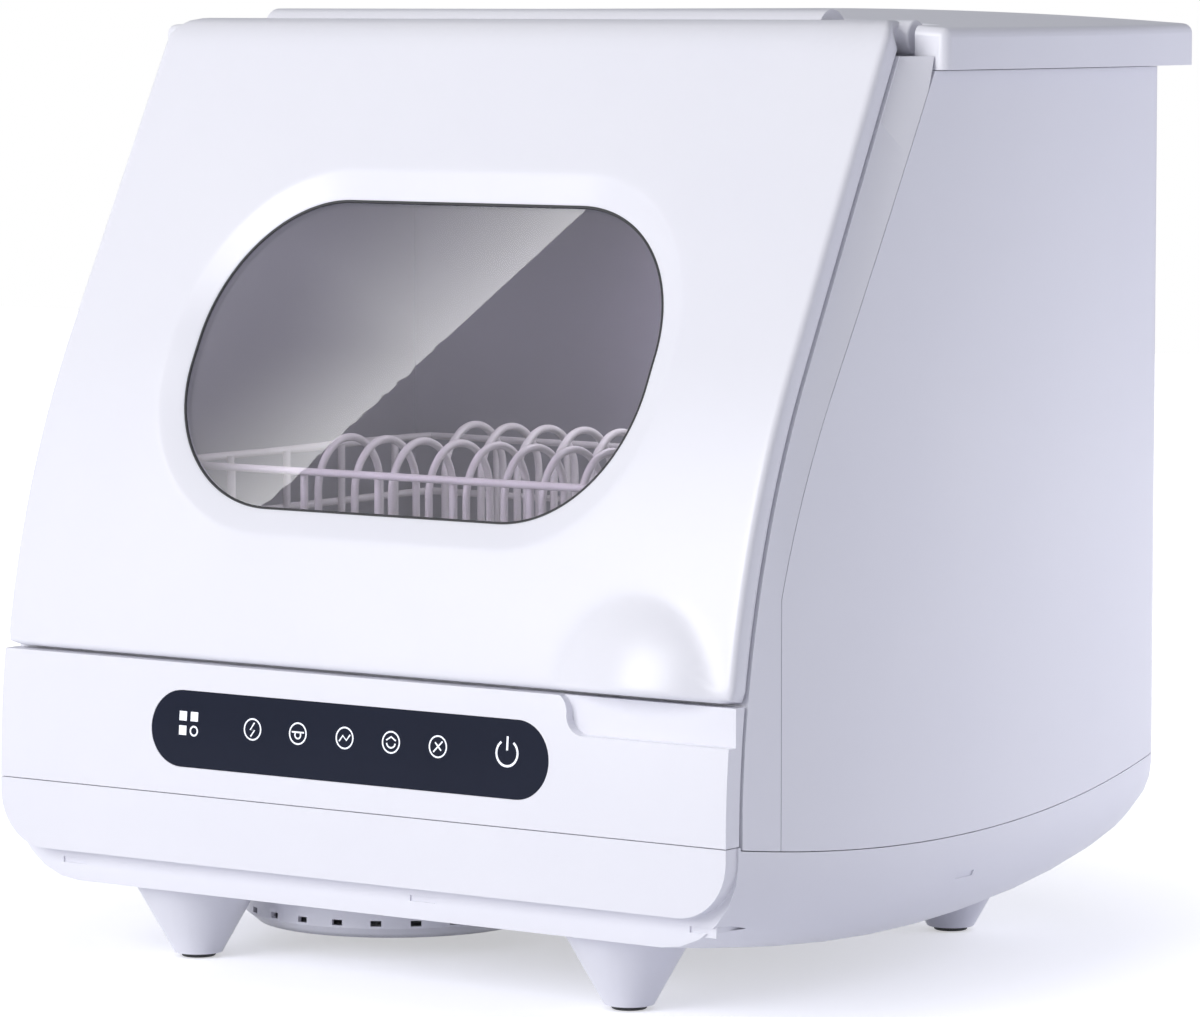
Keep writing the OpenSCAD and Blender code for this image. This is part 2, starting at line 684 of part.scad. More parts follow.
module front_frame() color(white) placed() difference() {
    union() {
        both_sides() slab_x(mouth_x - 6, post_x) post_side();
        both_sides() post_skin();
        // sill and head between the posts
        slab_x(-mouth_x + 5, mouth_x - 5) difference() {
            behind_face(frame_d, lid_low_z - 12, deck_low_z - gap, hinge_y - nose_r - 1);
            behind_face(tub_d - gap, lid_low_z - 20, deck_top_z, body_d * 2);
        }
    }
    // mouth of the tub
    slab_y(-5, body_d) mouth_outline(0);
    // hollow backs of the posts
    both_sides() slab_x(tub_w / 2 + 3, post_x - wall) post_hollow();
    // room for the tub behind the ring
    slab_x(-tub_w / 2 - gap, tub_w / 2 + gap) behind_face(tub_d - gap, lid_low_z - 21, tub_top_z + gap, body_d);
    // seat of the gasket
    gasket_ring(frame_d - 1, frame_d + 2.2, 0.2);
    // the fascia and its ends stand in front
    box([-body_w, -5, 0], [body_w, edge_d + 1.5, lid_low_z - 0.5]);
}
// Side view of the hollow in a post's back
module post_hollow() {
    behind_face(frame_d + wall, seam_low_z - 20, panel_top_z - 10, body_d);
}

// Front view of the tub's mouth, grown by out
module mouth_outline(out) {
    top = tub_top_z - 16;
    translate([0, (sill_z + top) / 2]) round_rect(2 * (mouth_x + out), top - sill_z + 2 * out, mouth_r + out);
}

// Ring round the mouth between two depths behind the face
module gasket_ring(d0, d1, play) intersection() {
    slab_x(-body_w, body_w) difference() {
        behind_face(d0, foot_z, deck_top_z, body_d);
        behind_face(d1, foot_z - 10, deck_top_z + 10, body_d * 2);
    }
    slab_y(-5, body_d) difference() {
        mouth_outline(6 + play);
        mouth_outline(2 - play);
    }
}
module tub_gasket() color(rubber) placed() gasket_ring(liner_d + 0.35, frame_d + 2.1, 0);

// S-shaped finger pocket, seen from the front
module pocket_outline() {
    h = lid_low_z - pocket_z;
    translate([pocket_x + h / 2, pocket_z]) square([face_w, h + 10]);
    translate([pocket_x + h / 2, pocket_z + h / 2]) circle(r = h / 2);
    difference() {
        translate([pocket_x - 4, pocket_z + h / 2]) square([h, h]);
        translate([pocket_x - h / 2, pocket_z + h / 2]) circle(r = h / 2);
    }
}

module control_fascia() color(white) placed() difference() {
    intersection() {
        slab_x(-face_w / 2, face_w / 2) difference() {
            behind_face(0, foot_z - 10, lid_low_z - lid_seam, 60);
            behind_face(edge_d, foot_z - 20, lid_low_z + 20, 120);
        }
        box([-face_w, -10, seam_front_z + gap / 2], [face_w, 60, lid_low_z]);
    }
    // hollow back, left solid round the pocket
    difference() {
        slab_x(-face_w / 2 + wall, face_w / 2 - wall)
            behind_face(wall, seam_front_z + gap + wall, lid_low_z - lid_seam - wall, 60);
        slab_y(-5, edge_d + 2) pocket_wall();
    }
    // finger pocket
    slab_y(-5, pocket_d) pocket_outline();
    // recess and opening of the touch strip
    strip_cut(0.15, 0);
    slab_y(-5, 60) translate([strip_x, strip_z]) round_rect(strip_w - 8, strip_h - 8, strip_h / 2 - 4.01);
}
module pocket_wall() {
    h = lid_low_z - pocket_z;
    translate([pocket_x - 6, pocket_z - wall]) square([face_w, h + 20]);
}

// Room of the touch strip in the curved fascia
module strip_cut(play, lift) intersection() {
    slab_x(-face_w / 2, face_w / 2) difference() {
        behind_face(lift - 1, foot_z, lid_low_z, 60);
        behind_face(strip_t + 0.3, foot_z - 10, lid_low_z + 10, 120);
    }
    slab_y(-5, 60) translate([strip_x, strip_z]) round_rect(strip_w + 2 * play, strip_h + 2 * play, strip_h / 2 + play - 0.01);
}
module touch_panel() color(navy) placed() intersection() {
    slab_x(-face_w / 2, face_w / 2) difference() {
        behind_face(0.1, foot_z, lid_low_z, 60);
        behind_face(strip_t + 0.1, foot_z - 10, lid_low_z + 10, 120);
    }
    slab_y(-5, 60) translate([strip_x, strip_z]) round_rect(strip_w, strip_h, strip_h / 2 - 0.01);
}
module touch_board() color(board_green) placed() {
    y0 = face_y(strip_z + strip_h / 2) + wall + 0.6;
    box([strip_x - strip_w / 2 + 6, y0, strip_z - strip_h / 2 + 1], [strip_x + strip_w / 2 - 6, y0 + 1.6, strip_z + strip_h / 2 - 1]);
    for (i = [0:6]) translate([strip_x - 89 + i * 29.5, 0, strip_z]) rod_y(y0 - 0.01, y0 + 5, 3);
}

// ---- Lid ----

// Front view of the lid
module lid_outline() {
    low = lid_low_z + lid_seam / 2;
    translate([-face_w / 2, low]) square([face_w, lid_top_z - lid_corner_r - low]);
    translate([-face_w / 2 + lid_corner_r, low]) square([face_w - 2 * lid_corner_r, lid_top_z - low]);
    both_sides() translate([face_w / 2 - lid_corner_r, lid_top_z - lid_corner_r]) circle(r = lid_corner_r);
}
module window_outline(out) translate([0, window_z]) round_rect(window_w + 2 * out, window_h + 2 * out, window_r + out);

module lid_shell() color(white) placed() difference() {
    union() {
        intersection() {
            slab_x(-face_w / 2, face_w / 2) difference() {
                lid_side(0);
                lid_side(edge_d);
            }
            slab_y(-5, body_d) lid_outline();
        }
        // thumb dome
        intersection() {
            translate([dome_x, dome_y, dome_z]) sphere(r = dome_r);
            box([0, -40, lid_low_z + lid_seam / 2], [face_w / 2, front_y(lid_low_z + 60), lid_low_z + 60]);
            slab_x(0, face_w / 2) difference() {
                translate([-40, 0]) square([body_d, sky_z]);
                behind_face(edge_d - 0.5, 0, sky_z, 2 * body_d);
            }
        }
        // ears
        both_sides() translate([0, hinge_y, hinge_z]) rod_x(ear_in_x, face_w / 2 - 3, ear_r);
    }
    // hollow of the shell
    intersection() {
        slab_x(-face_w / 2 + wall, face_w / 2 - wall)
            behind_face(wall, foot_z, liner_top_z + 0.4, body_d);
        slab_y(-5, body_d) translate([-face_w, lid_low_z + lid_seam / 2 + wall]) square([2 * face_w, sky_z]);
    }
    intersection() {
        translate([dome_x, dome_y, dome_z]) sphere(r = dome_r - wall);
        box([0, -40, 0], [face_w / 2 - wall, front_y(lid_low_z + 60), lid_low_z + 60]);
    }
    slab_y(-5, body_d) window_outline(bezel_w);
    // room of the hinge nose between the ears
    translate([0, hinge_y, hinge_z]) rod_x(-ear_in_x, ear_in_x, nose_r + 0.6);
    // pin bores
    both_sides() translate([0, hinge_y, hinge_z]) rod_x(ear_in_x - 1, pin_end_x + 0.5, lid_pin_r + pin_play);
}

// Point of a round rectangle's outline at step i of n, as [x, z]
function rect_pt(w, h, r, i, n) =
    let (a = 360 * i / n)
    [sign_of(cos(a)) * (w / 2 - r) + r * cos(a), sign_of(sin(a)) * (h / 2 - r) + r * sin(a)];
function sign_of(v) = v >= 0 ? 1 : -1;
// A loop round the window on the surface at a distance behind the face
function window_loop(out, d, n) = [for (i = [0.5:1:n])
    let (p = rect_pt(window_w + 2 * out, window_h + 2 * out, window_r + out, i, n), z = window_z + p[1])
    [p[0], front_y(z) + d, z]];
// Closed ring through four loops
module loft_ring(loops) {
    n = len(loops[0]);
    m = len(loops);
    polyhedron(
        points = [for (l = loops) for (p = l) p],
        faces = [for (k = [0:m - 1], i = [0:n - 1])
            let (a = k * n + i, b = k * n + (i + 1) % n, c = ((k + 1) % m) * n + i, d = ((k + 1) % m) * n + (i + 1) % n)
            each [[a, b, d], [a, d, c]]]);
}
module window_bezel() color(white) placed() loft_ring([
    window_loop(bezel_w - 0.3, 0.2, bezel_n),
    window_loop(bezel_w - 0.3, wall, bezel_n),
    window_loop(0.4, pane_d - 0.3, bezel_n),
    window_loop(0, pane_d - 1.2, bezel_n)
]);

// Curved sheet between two depths behind the face
module face_sheet(d0, d1, low, top, half = body_w) slab_x(-half, half) difference() {
    behind_face(d0, low, top, body_d);
    behind_face(d1, low - 10, top + 10, body_d * 2);
}
module window_pane() color(smoke, 0.5) placed() intersection() {
    face_sheet(pane_d, pane_d + pane_t, foot_z, body_h);
    slab_y(-5, body_d) window_outline(8);
}
module window_gasket() color(rubber) placed() intersection() {
    face_sheet(pane_d - 0.1, pane_d + pane_t, foot_z, body_h);
    slab_y(-5, body_d) difference() {
        window_outline(10);
        window_outline(8.1);
    }
}
module lid_liner() color(liner_grey) placed() difference() {
    union() {
        face_sheet(liner_d - 1.6, liner_d, lid_low_z + lid_seam / 2 + wall + gap, liner_top_z, face_w / 2 - wall - gap);
        // ledge that carries the pane
        intersection() {
            face_sheet(pane_d + pane_t + 0.1, liner_d, foot_z, body_h);
            slab_y(-5, body_d) difference() {
                window_outline(11.5);
                window_outline(2);
            }
        }
    }
    slab_y(-5, body_d) window_outline(2);
}
module lid_magnet() color(steel) placed() box(
    [-20, front_y(lid_low_z + 13) + wall + 0.4, lid_low_z + 8], [0, front_y(lid_low_z + 8) + liner_d - 2, lid_low_z + 13]);

module lid_hinge_pins() color(steel) placed() both_sides() translate([0, hinge_y, hinge_z])
    rod_x(ear_in_x - 30, pin_end_x, lid_pin_r);

module hinge_dampers() color(black) placed() both_sides() translate([0, hinge_y, hinge_z]) difference() {
    rod_x(ear_in_x - 36, ear_in_x - 8, nose_r - wall - 0.3);
    rod_x(ear_in_x - 30.2, ear_in_x, lid_pin_r + 0.03);
}

// ---- Top ----

module top_deck() color(white) placed() difference() {
    union() {
        // deck under the cover, inside the side panels
        slab_z(deck_low_z, deck_top_z) intersection() {
            bow_plan(wall + gap, hinge_y + ear_r + 1.4);
            translate([-body_w, 0]) square([2 * body_w, body_d - wall - gap]);
        }
        box([-mouth_x + 6 + gap, hinge_y - 2, deck_low_z], [mouth_x - 6 - gap, hinge_y + 20, deck_top_z]);
        // hinge nose and its web
        translate([0, hinge_y, hinge_z]) rod_x(-ear_in_x + 1.5, ear_in_x - 1.5, nose_r);
        box([-ear_in_x + 1.5, hinge_y - 2, deck_low_z], [ear_in_x - 1.5, hinge_y + 2, hinge_z - nose_r + 2]);
        // brackets of the cover's hinge
        both_sides() translate([cover_pin_x, 0, 0]) {
            translate([0, cover_pin_y, cover_pin_z]) rod_x(-lug_t / 2, lug_t / 2, lug_r);
            box([-lug_t / 2, cover_pin_y - 20, cover_pin_z - lug_r], [lug_t / 2, cover_pin_y, cover_pin_z]);
            box([-lug_t / 2, cover_pin_y - 20, deck_top_z - 1], [lug_t / 2, body_d - wall - 2, cover_pin_z - lug_r + 1]);
        }
    }
    // hollow nose, open below, with solid ends
    translate([0, hinge_y, hinge_z]) rod_x(-ear_in_x + 8, ear_in_x - 8, nose_r - wall);
    both_sides() translate([0, hinge_y, hinge_z]) rod_x(ear_in_x - 20, ear_in_x + 5, lid_pin_r + 0.03);
    // filler mouth
    translate([0, filler_y, 0]) cylinder(r = neck_r + gap, h = body_h);
    both_sides() translate([0, cover_pin_y, cover_pin_z]) rod_x(cover_pin_x - 10, cover_pin_x + 10, cover_pin_r + 0.03);
}

// Front view of everything under the cover's crown, drawn in by inset
module crown_front(inset) {
    half = asin((cover_w + 20) / crown_r);
    polygon(concat(
        arc([0, cover_top_z - crown_r], crown_r - inset, 90 - half, 90 + half, crown_n),
        [[-cover_w - 20, cover_low_z - 10], [cover_w + 20, cover_low_z - 10]]));
}
// Plan view of the cover: a notch in front for the hinge nose and the ears leaves a horn on each side
module cover_plan(inset) difference() {
    bow_outline(cover_out - inset, horn_y + inset, cover_rear_y - inset, cover_corner_r - inset);
    translate([-notch_x - inset, 0]) square([2 * (notch_x + inset), cover_front_y + inset]);
}

module top_cover() color(white) placed() {
    difference() {
        intersection() {
            slab_z(cover_low_z, body_h + 20) cover_plan(0);
            slab_y(0, cover_rear_y + 20) crown_front(0);
        }
        intersection() {
            slab_z(cover_low_z - 1, body_h + 20) cover_plan(wall);
            slab_y(0, cover_rear_y + 20) crown_front(wall);
        }
    }
    // hinge lugs under the rear edge
    both_sides() for (s = [-1, 1]) translate([cover_pin_x + s * (lug_t + 1), 0, 0]) intersection() {
        difference() {
            union() {
                translate([0, cover_pin_y, cover_pin_z]) rod_x(-lug_t / 2, lug_t / 2, lug_r);
                box([-lug_t / 2, cover_pin_y - lug_r, cover_pin_z], [lug_t / 2, cover_pin_y + lug_r, body_h]);
            }
            translate([0, cover_pin_y, cover_pin_z]) rod_x(-lug_t, lug_t, cover_pin_r + pin_play);
        }
        translate([-cover_pin_x - s * (lug_t + 1), 0, 0]) slab_y(0, cover_rear_y) crown_front(wall / 2);
    }
}
module cover_hinge_pins() color(steel) placed() both_sides() translate([0, cover_pin_y, cover_pin_z])
    rod_x(cover_pin_x - lug_t * 1.5, cover_pin_x + lug_t * 1.5, cover_pin_r);

module filler_strainer() color(liner_grey) placed() translate([0, filler_y, 0]) difference() {
    union() {
        translate([0, 0, neck_top_z - strainer_depth]) cylinder(r = neck_r - wall - gap, h = strainer_depth + 1);
        translate([0, 0, neck_top_z + gap]) cylinder(r = neck_r, h = 2);
    }
    translate([0, 0, neck_top_z - strainer_depth + 2]) cylinder(r = neck_r - wall - gap - 2, h = strainer_depth + 20);
    for (x = [-10, -3.3, 3.3, 10], y = [-10, -3.3, 3.3, 10])
        translate([x, y, neck_top_z - strainer_depth - 1]) cylinder(r = 1.5, h = 5);
}

module water_tank() color(nylon, 0.7) placed() difference() {
    union() {
        slab_y(tank_front_y, tank_rear_y) translate([0, (tank_low_z + tank_top_z) / 2])
            round_rect(2 * tank_x, tank_top_z - tank_low_z, 14);
        translate([0, filler_y, tank_top_z - 5]) cylinder(r = neck_r, h = neck_top_z - tank_top_z + 5);
        translate([tank_out_x, filler_y, tank_low_z - 9]) cylinder(r = 7, h = 12);
    }
    slab_y(tank_front_y + wall, tank_rear_y - wall) translate([0, (tank_low_z + tank_top_z) / 2])
        round_rect(2 * tank_x - 2 * wall, tank_top_z - tank_low_z - 2 * wall, 14 - wall);
    translate([0, filler_y, tank_top_z - 20]) cylinder(r = neck_r - wall, h = 60);
    translate([tank_out_x, filler_y, tank_low_z - 10]) cylinder(r = 4.5, h = 30);
}

// ---- Tub ----

module tub_front(inset) translate([0, (tub_floor_z + tub_top_z) / 2])
    round_rect(tub_w - 2 * inset, tub_top_z - tub_floor_z - 2 * inset, tub_corner_r - inset);

module tub() color(steel) placed() difference() {
    intersection() {
        slab_y(0, tub_rear_y) tub_front(0);
        slab_x(-body_w, body_w) behind_face(tub_d, foot_z, deck_low_z, body_d);
    }
    difference() {
        slab_y(-10, tub_rear_y - tub_t) tub_front(tub_t);
        // moulded ledges that carry the rack's glides
        both_sides() box([rack_x + 8, tub_d, rail_z - glide_h - 3], [tub_w / 2, tub_rear_y, rail_z - glide_h]);
    }
    translate([0, sump_y, 0]) cylinder(r = sump_r + 4, h = 200);
    // dry-air inlet in the side wall
    translate([0, duct_y, duct_top_z - duct_w / 2]) rod_x(-tub_w, 0, duct_w / 2 - 3);
}

module rack_glides() color(nylon) placed() both_sides() difference() {
    box([rack_x + 4, tub_y_front() + 6, rail_z - glide_h + 0.2], [tub_w / 2 - tub_t - 0.4, tub_rear_y - tub_t - 3, rail_z]);
    box([rack_x + 6, 0, rail_z - 1.5], [rack_x + 12, tub_rear_y - 12, rail_z + 1]);
}
function tub_y_front() = front_y(rail_z) + tub_d;

module heater_ring() color(steel) placed() {
    translate([0, sump_y, floor_top_z + 5]) rotate_extrude(angle = 330) translate([heater_r, 0]) circle(r = 3.2);
    for (a = [4, 326]) translate([heater_r * cos(a), sump_y + heater_r * sin(a), floor_top_z + 0.1])
        cylinder(r = 2.4, h = 5);
}

module filter_plate() color(steel) placed() translate([0, sump_y, 0]) difference() {
    translate([0, 0, floor_top_z + 0.1]) cylinder(r = sump_r + 14, h = 1.5);
    translate([0, 0, floor_top_z - 1]) cylinder(r = cup_r + 0.2, h = 5);
    for (r = [30, 36, 42, 48], a = [0:20:340]) rotate([0, 0, a + r]) translate([r, 0, floor_top_z - 1]) cylinder(r = 1.6, h = 5);
}
module filter_cup() color(nylon) placed() translate([0, sump_y, 0]) difference() {
    union() {
        translate([0, 0, floor_top_z - cup_h]) cylinder(r = cup_r, h = cup_h + 2);
        translate([0, 0, floor_top_z + 1.7]) cylinder(r = cup_r + 3, h = 2);
    }
    translate([0, 0, floor_top_z - cup_h + 2]) cylinder(r = cup_r - 2, h = 2 * cup_h);
    for (a = [0:30:330], z = [6, 13, 20]) rotate([0, 0, a])
        translate([0, 0, floor_top_z - cup_h + z]) rod_x(cup_r - 4, cup_r + 2, 2);
}
module sump() color(black) placed() difference() {
    translate([0, sump_y, 0]) difference() {
        union() {
            translate([0, 0, sump_z]) cylinder(r = sump_r, h = tub_floor_z - sump_z - 0.3);
            translate([0, 0, tub_floor_z - 4]) cylinder(r = sump_r + 9, h = 3.7);
        }
        translate([0, 0, sump_z + wall]) cylinder(r = sump_r - wall, h = 100);
    }
    // suction and drain ports
    translate([0, sump_y, pump_z]) rod_x(0, sump_r + 10, 8);
    translate([0, 0, drain_z]) rod_y(sump_y, sump_y + sump_r + 10, 6);
}

module spray_spindle() color(nylon) placed() translate([0, sump_y, 0]) difference() {
    union() {
        translate([0, 0, spindle_low_z]) cylinder(r = spindle_r + 3, h = 4);
        translate([0, 0, spindle_low_z]) cylinder(r = spindle_r, h = arm_z + arm_t - 3 - spindle_low_z);
        translate([0, 0, arm_z - 5]) cylinder(r = spindle_r + 4, h = 4.6);
    }
    translate([0, 0, 0]) cylinder(r = spindle_r - 2, h = 300);
}

// Swept spray arm with a hub and jets
module spray_arm() color(steel) placed() translate([0, sump_y, arm_z]) difference() {
    union() {
        cylinder(r = arm_hub_r, h = arm_t);
        for (s = [0, 180]) rotate([0, 0, s]) intersection() {
            translate([0, 0, arm_t / 2]) rotate([0, 90, 0]) arm_oval(arm_l / 2);
            translate([0, -20, 0]) cube([arm_l, 40, arm_t]);
        }
        translate([0, 0, arm_t]) cylinder(r1 = 12, r2 = 7, h = 4);
    }
    translate([0, 0, -1]) cylinder(r = spindle_r + pin_play, h = arm_t - 2);
    for (s = [0, 180], i = [0:5]) rotate([0, 0, s]) translate([34 + i * 15, (i % 2) * 6 - 3, arm_t - 3]) cylinder(r = 1.3, h = 5);
}
module arm_oval(l) linear_extrude(l) {
    for (y = [-9, 9]) translate([0, y]) circle(r = arm_t / 2);
    square([arm_t, 18], center = true);
}

// ---- Rack ----

module wire_x(x0, x1, y, z, r = wire_r) translate([0, y, z]) rod_x(x0, x1, r);
module wire_y(y0, y1, x, z, r = wire_r) translate([x, 0, z]) rod_y(y0, y1, r);
module wire_z(z0, z1, x, y, r = wire_r) translate([x, y, z0]) cylinder(r = r, h = z1 - z0);

module rack_floor() color(nylon) placed() {
    n = floor((rack_x - 8) / wire_pitch);
    low = rack_z - wire_r * 1.4;
    for (i = [-n:n]) wire_y(rack_front_y + 4, rack_rear_y - 4, i * wire_pitch, rack_z);
    for (y = [rack_front_y + 8, (rack_front_y + rack_rear_y) / 2, rack_rear_y - 8]) wire_x(-rack_x + 4, rack_x - 4, y, low);
}
module rack_wall_y(x) {
    for (z = [rack_z, (rack_z + rack_rim_z) / 2, rack_rim_z]) wire_y(rack_front_y, rack_rear_y, x, z);
    n = floor((rack_rear_y - rack_front_y - 10) / (wire_pitch * 2));
    for (i = [0:n]) wire_z(rack_z - 1, rack_rim_z, x + (x > 0 ? 1 : -1) * -wire_r * 1.4, rack_front_y + 10 + i * wire_pitch * 2);
}
module rack_sides() color(nylon) placed() {
    for (s = [-1, 1]) {
        rack_wall_y(s * rack_x);
        // runner shoe that slides in the glide
        box([min(s * (rack_x - 1), s * (rack_x + 11)), rack_front_y + 10, rail_z + 0.35],
            [max(s * (rack_x - 1), s * (rack_x + 11)), rack_rear_y - 10, rail_z + 2.6]);
        box([min(s * (rack_x + 7), s * (rack_x + 11)), rack_front_y + 10, rail_z - 1.1],
            [max(s * (rack_x + 7), s * (rack_x + 11)), rack_rear_y - 10, rail_z + 1]);
    }
}
module rack_wall_x(y, inward) {
    for (z = [rack_z, (rack_z + rack_rim_z) / 2, rack_rim_z]) wire_x(-rack_x + wire_r + 0.3, rack_x - wire_r - 0.3, y, z);
    n = floor((rack_x - 10 - wire_pitch / 2) / (wire_pitch * 2));
    for (i = [-n:n]) wire_z(rack_z - 1, rack_rim_z, i * wire_pitch * 2 + wire_pitch / 2, y + inward * wire_r * 1.4);
}
module rack_front() color(nylon) placed() rack_wall_x(rack_front_y + 1, 1);
module rack_back() color(nylon) placed() rack_wall_x(rack_rear_y - 1, -1);

module plate_loop() {
    r = loop_w / 2;
    foot = rack_z + wire_r + 0.2;
    top = rack_z + loop_h - r;
    translate([0, 0, top]) rotate([90, 0, 90]) rotate_extrude(angle = 180) translate([r, 0]) circle(r = wire_r);
    for (s = [-1, 1]) translate([0, s * r, foot]) cylinder(r = wire_r, h = top - foot);
}
module plate_loops() color(nylon) placed() for (row = [0, 1], i = [0:loop_count - 1])
    translate([(i - (loop_count - 1) / 2) * loop_pitch, rack_front_y + 50 + row * row_pitch, 0]) plate_loop();

// ---- Pumps and air ----

module volute() color(black) placed() translate([volute_x, sump_y, pump_z]) difference() {
    union() {
        rod_x(0, volute_t, volute_r);
        translate([0, 0, 0]) rod_x(-5.6, 1, 12);
        translate([volute_t / 2, volute_r - 10, 0]) cylinder(r = 6.5, h = outlet_top_z - pump_z);
    }
    rod_x(2, volute_t - 2, volute_r - 3);
    rod_x(-10, 5, 9);
    rod_x(5, volute_t + 1, 4);
    translate([volute_t / 2, volute_r - 10, 0]) cylinder(r = 4.5, h = 80);
}
module pump_motor() color(steel) placed() translate([volute_x + volute_t + 0.3, sump_y, pump_z]) difference() {
    union() {
        rod_x(0, motor_l, motor_r);
        rod_x(motor_l - 1, motor_l + 8, 12);
    }
    rod_x(-1, 20, 3 + pin_play);
}
module wash_impeller() color(nylon) placed() translate([volute_x, sump_y, pump_z]) {
    rod_x(6, volute_t + 18, 3);
    rod_x(6, 9, volute_r - 6);
    rod_x(8, 17, 7);
    for (a = [0:60:300]) rotate([a, 0, 0]) translate([8, 5, -1]) cube([7, volute_r - 13, 2]);
}
module drain_pump() color(black) placed() translate([0, drain_y, drain_z]) difference() {
    union() {
        rod_y(-14, 6, 20);
        rod_y(6, 40, 15);
        rod_y(-drain_in, -13, 9);
        translate([0, -4, 14]) cylinder(r = 6, h = drain_top_z - drain_z - 14);
    }
    rod_y(-12, 4, 17);
    rod_y(-20, 0, 6);
    rod_y(0, 20, 2 + pin_play);
    translate([0, -4, 10]) cylinder(r = 4, h = 30);
}
module drain_impeller() color(nylon) placed() translate([0, drain_y, drain_z]) {
    rod_y(-4, 18, 2);
    rod_y(-2, 0, 14);
    for (a = [0:90:270]) rotate([0, a, 0]) translate([3, -9, -1]) cube([11, 8, 2]);
    rod_y(-9, 0, 4);
}
module fan_housing() color(black) placed() translate([fan_x, disc_y, 0]) difference() {
    union() {
        translate([0, 0, fan_low_z]) cylinder(r = fan_r + 6, h = fan_high_z - fan_low_z);
        translate([-fan_r - 20, -duct_w / 2, fan_low_z]) cube([fan_r + 20, duct_w, fan_high_z - fan_low_z]);
        for (s = [-1, 1]) translate([0, s * (fan_r + 8), fan_low_z]) cylinder(r = 6, h = 3);
    }
    translate([0, 0, fan_low_z + 2]) cylinder(r = fan_r + 4, h = fan_high_z - fan_low_z - 4);
    translate([-fan_r - 30, -duct_w / 2 + 2, fan_low_z + 2]) cube([fan_r + 30, duct_w - 4, fan_high_z - fan_low_z - 4]);
    translate([0, 0, fan_low_z - 1]) cylinder(r = fan_r - 8, h = 5);
}
module fan_impeller() color(nylon) placed() translate([fan_x, disc_y, 0]) {
    translate([0, 0, fan_low_z + 4]) cylinder(r = fan_r, h = 1.5);
    translate([0, 0, fan_high_z - 7]) difference() {
        cylinder(r = fan_r, h = 1.5);
        translate([0, 0, -1]) cylinder(r = fan_r - 5, h = 5);
    }
    for (a = [0:20:340]) rotate([0, 0, a]) translate([fan_r - 3, -0.6, fan_low_z + 5]) cube([2.6, 1.2, fan_high_z - fan_low_z - 11]);
    translate([0, 0, fan_low_z + 5]) cylinder(r = 10, h = fan_high_z - fan_low_z - 7.3);
}

// Duct from the fan's mouth to the side and up beside the tub, where the air goes in
module air_duct() color(black) placed() difference() {
    union() {
        box([duct_turn_x, duct_y - duct_w / 2, fan_low_z], [fan_x - fan_r - 20.2, duct_y + duct_w / 2, fan_high_z]);
        box([duct_x, duct_y - duct_w / 2, duct_turn_z], [-tub_w / 2 - gap, duct_y + duct_w / 2, duct_top_z]);
    }
    box([duct_turn_x + 1.5, duct_y - duct_w / 2 + 1.5, fan_low_z + 1.5],
        [fan_x, duct_y + duct_w / 2 - 1.5, fan_high_z - 1.5]);
    box([duct_x + 1.5, duct_y - duct_w / 2 + 1.5, duct_turn_z + 1.5],
        [-tub_w / 2 - gap - 1.5, duct_y + duct_w / 2 - 1.5, duct_top_z - 1.5]);
    translate([0, duct_y, duct_top_z - duct_w / 2]) rod_x(duct_x + 5, 0, duct_w / 2 - 3);
}

// Hose that rises, turns to X and runs on; its far end is at run, rise
module hose_elbow(rise, run, r, bend) {
    cylinder(r = r, h = rise - bend);
    translate([bend, 0, rise - bend]) rotate([90, 0, 0]) rotate([0, 0, 90])
        rotate_extrude(angle = 90) translate([bend, 0]) circle(r = r);
    translate([bend, 0, rise]) rotate([0, 90, 0]) cylinder(r = r, h = run - bend);
}
// Turn and distance in plan from one place to another
function plan_turn(a, b) = atan2(b[1] - a[1], b[0] - a[0]);
function plan_way(a, b) = norm([b[0] - a[0], b[1] - a[1]]);

module pump_hoses() color(rubber) placed() {
    $fn = 24;
    sump_at = [0, sump_y];
    // from the wash pump back into the sump, under its collar
    wash_at = [volute_x + volute_t / 2, sump_y + volute_r - 10];
    translate([wash_at[0], wash_at[1], outlet_top_z + gap]) rotate([0, 0, plan_turn(wash_at, sump_at)])
        hose_elbow(feed_z - outlet_top_z - gap, plan_way(wash_at, sump_at) - sump_r - gap, 6, 9);
    // from the tank down to the sump
    tank_at = [tank_out_x, filler_y];
    translate([tank_at[0], tank_at[1], tank_low_z - 9 - gap]) rotate([0, 0, plan_turn(tank_at, sump_at)]) rotate([180, 0, 0])
        hose_elbow(tank_low_z - 9 - gap - supply_z, plan_way(tank_at, sump_at) - sump_r - gap, 7, hose_bend);
    // from the drain pump to the drain spigot's tail
    drain_at = [0, drain_y - 4];
    tail_at = [drain_x, body_d - wall - drain_tail - gap];
    translate([drain_at[0], drain_at[1], drain_top_z + gap]) rotate([0, 0, plan_turn(drain_at, tail_at)])
        hose_elbow(fitting_z - drain_top_z - gap, plan_way(drain_at, tail_at) - 7.5, 7.5, hose_bend);
}

// ---- Fittings on the back and the electrics ----

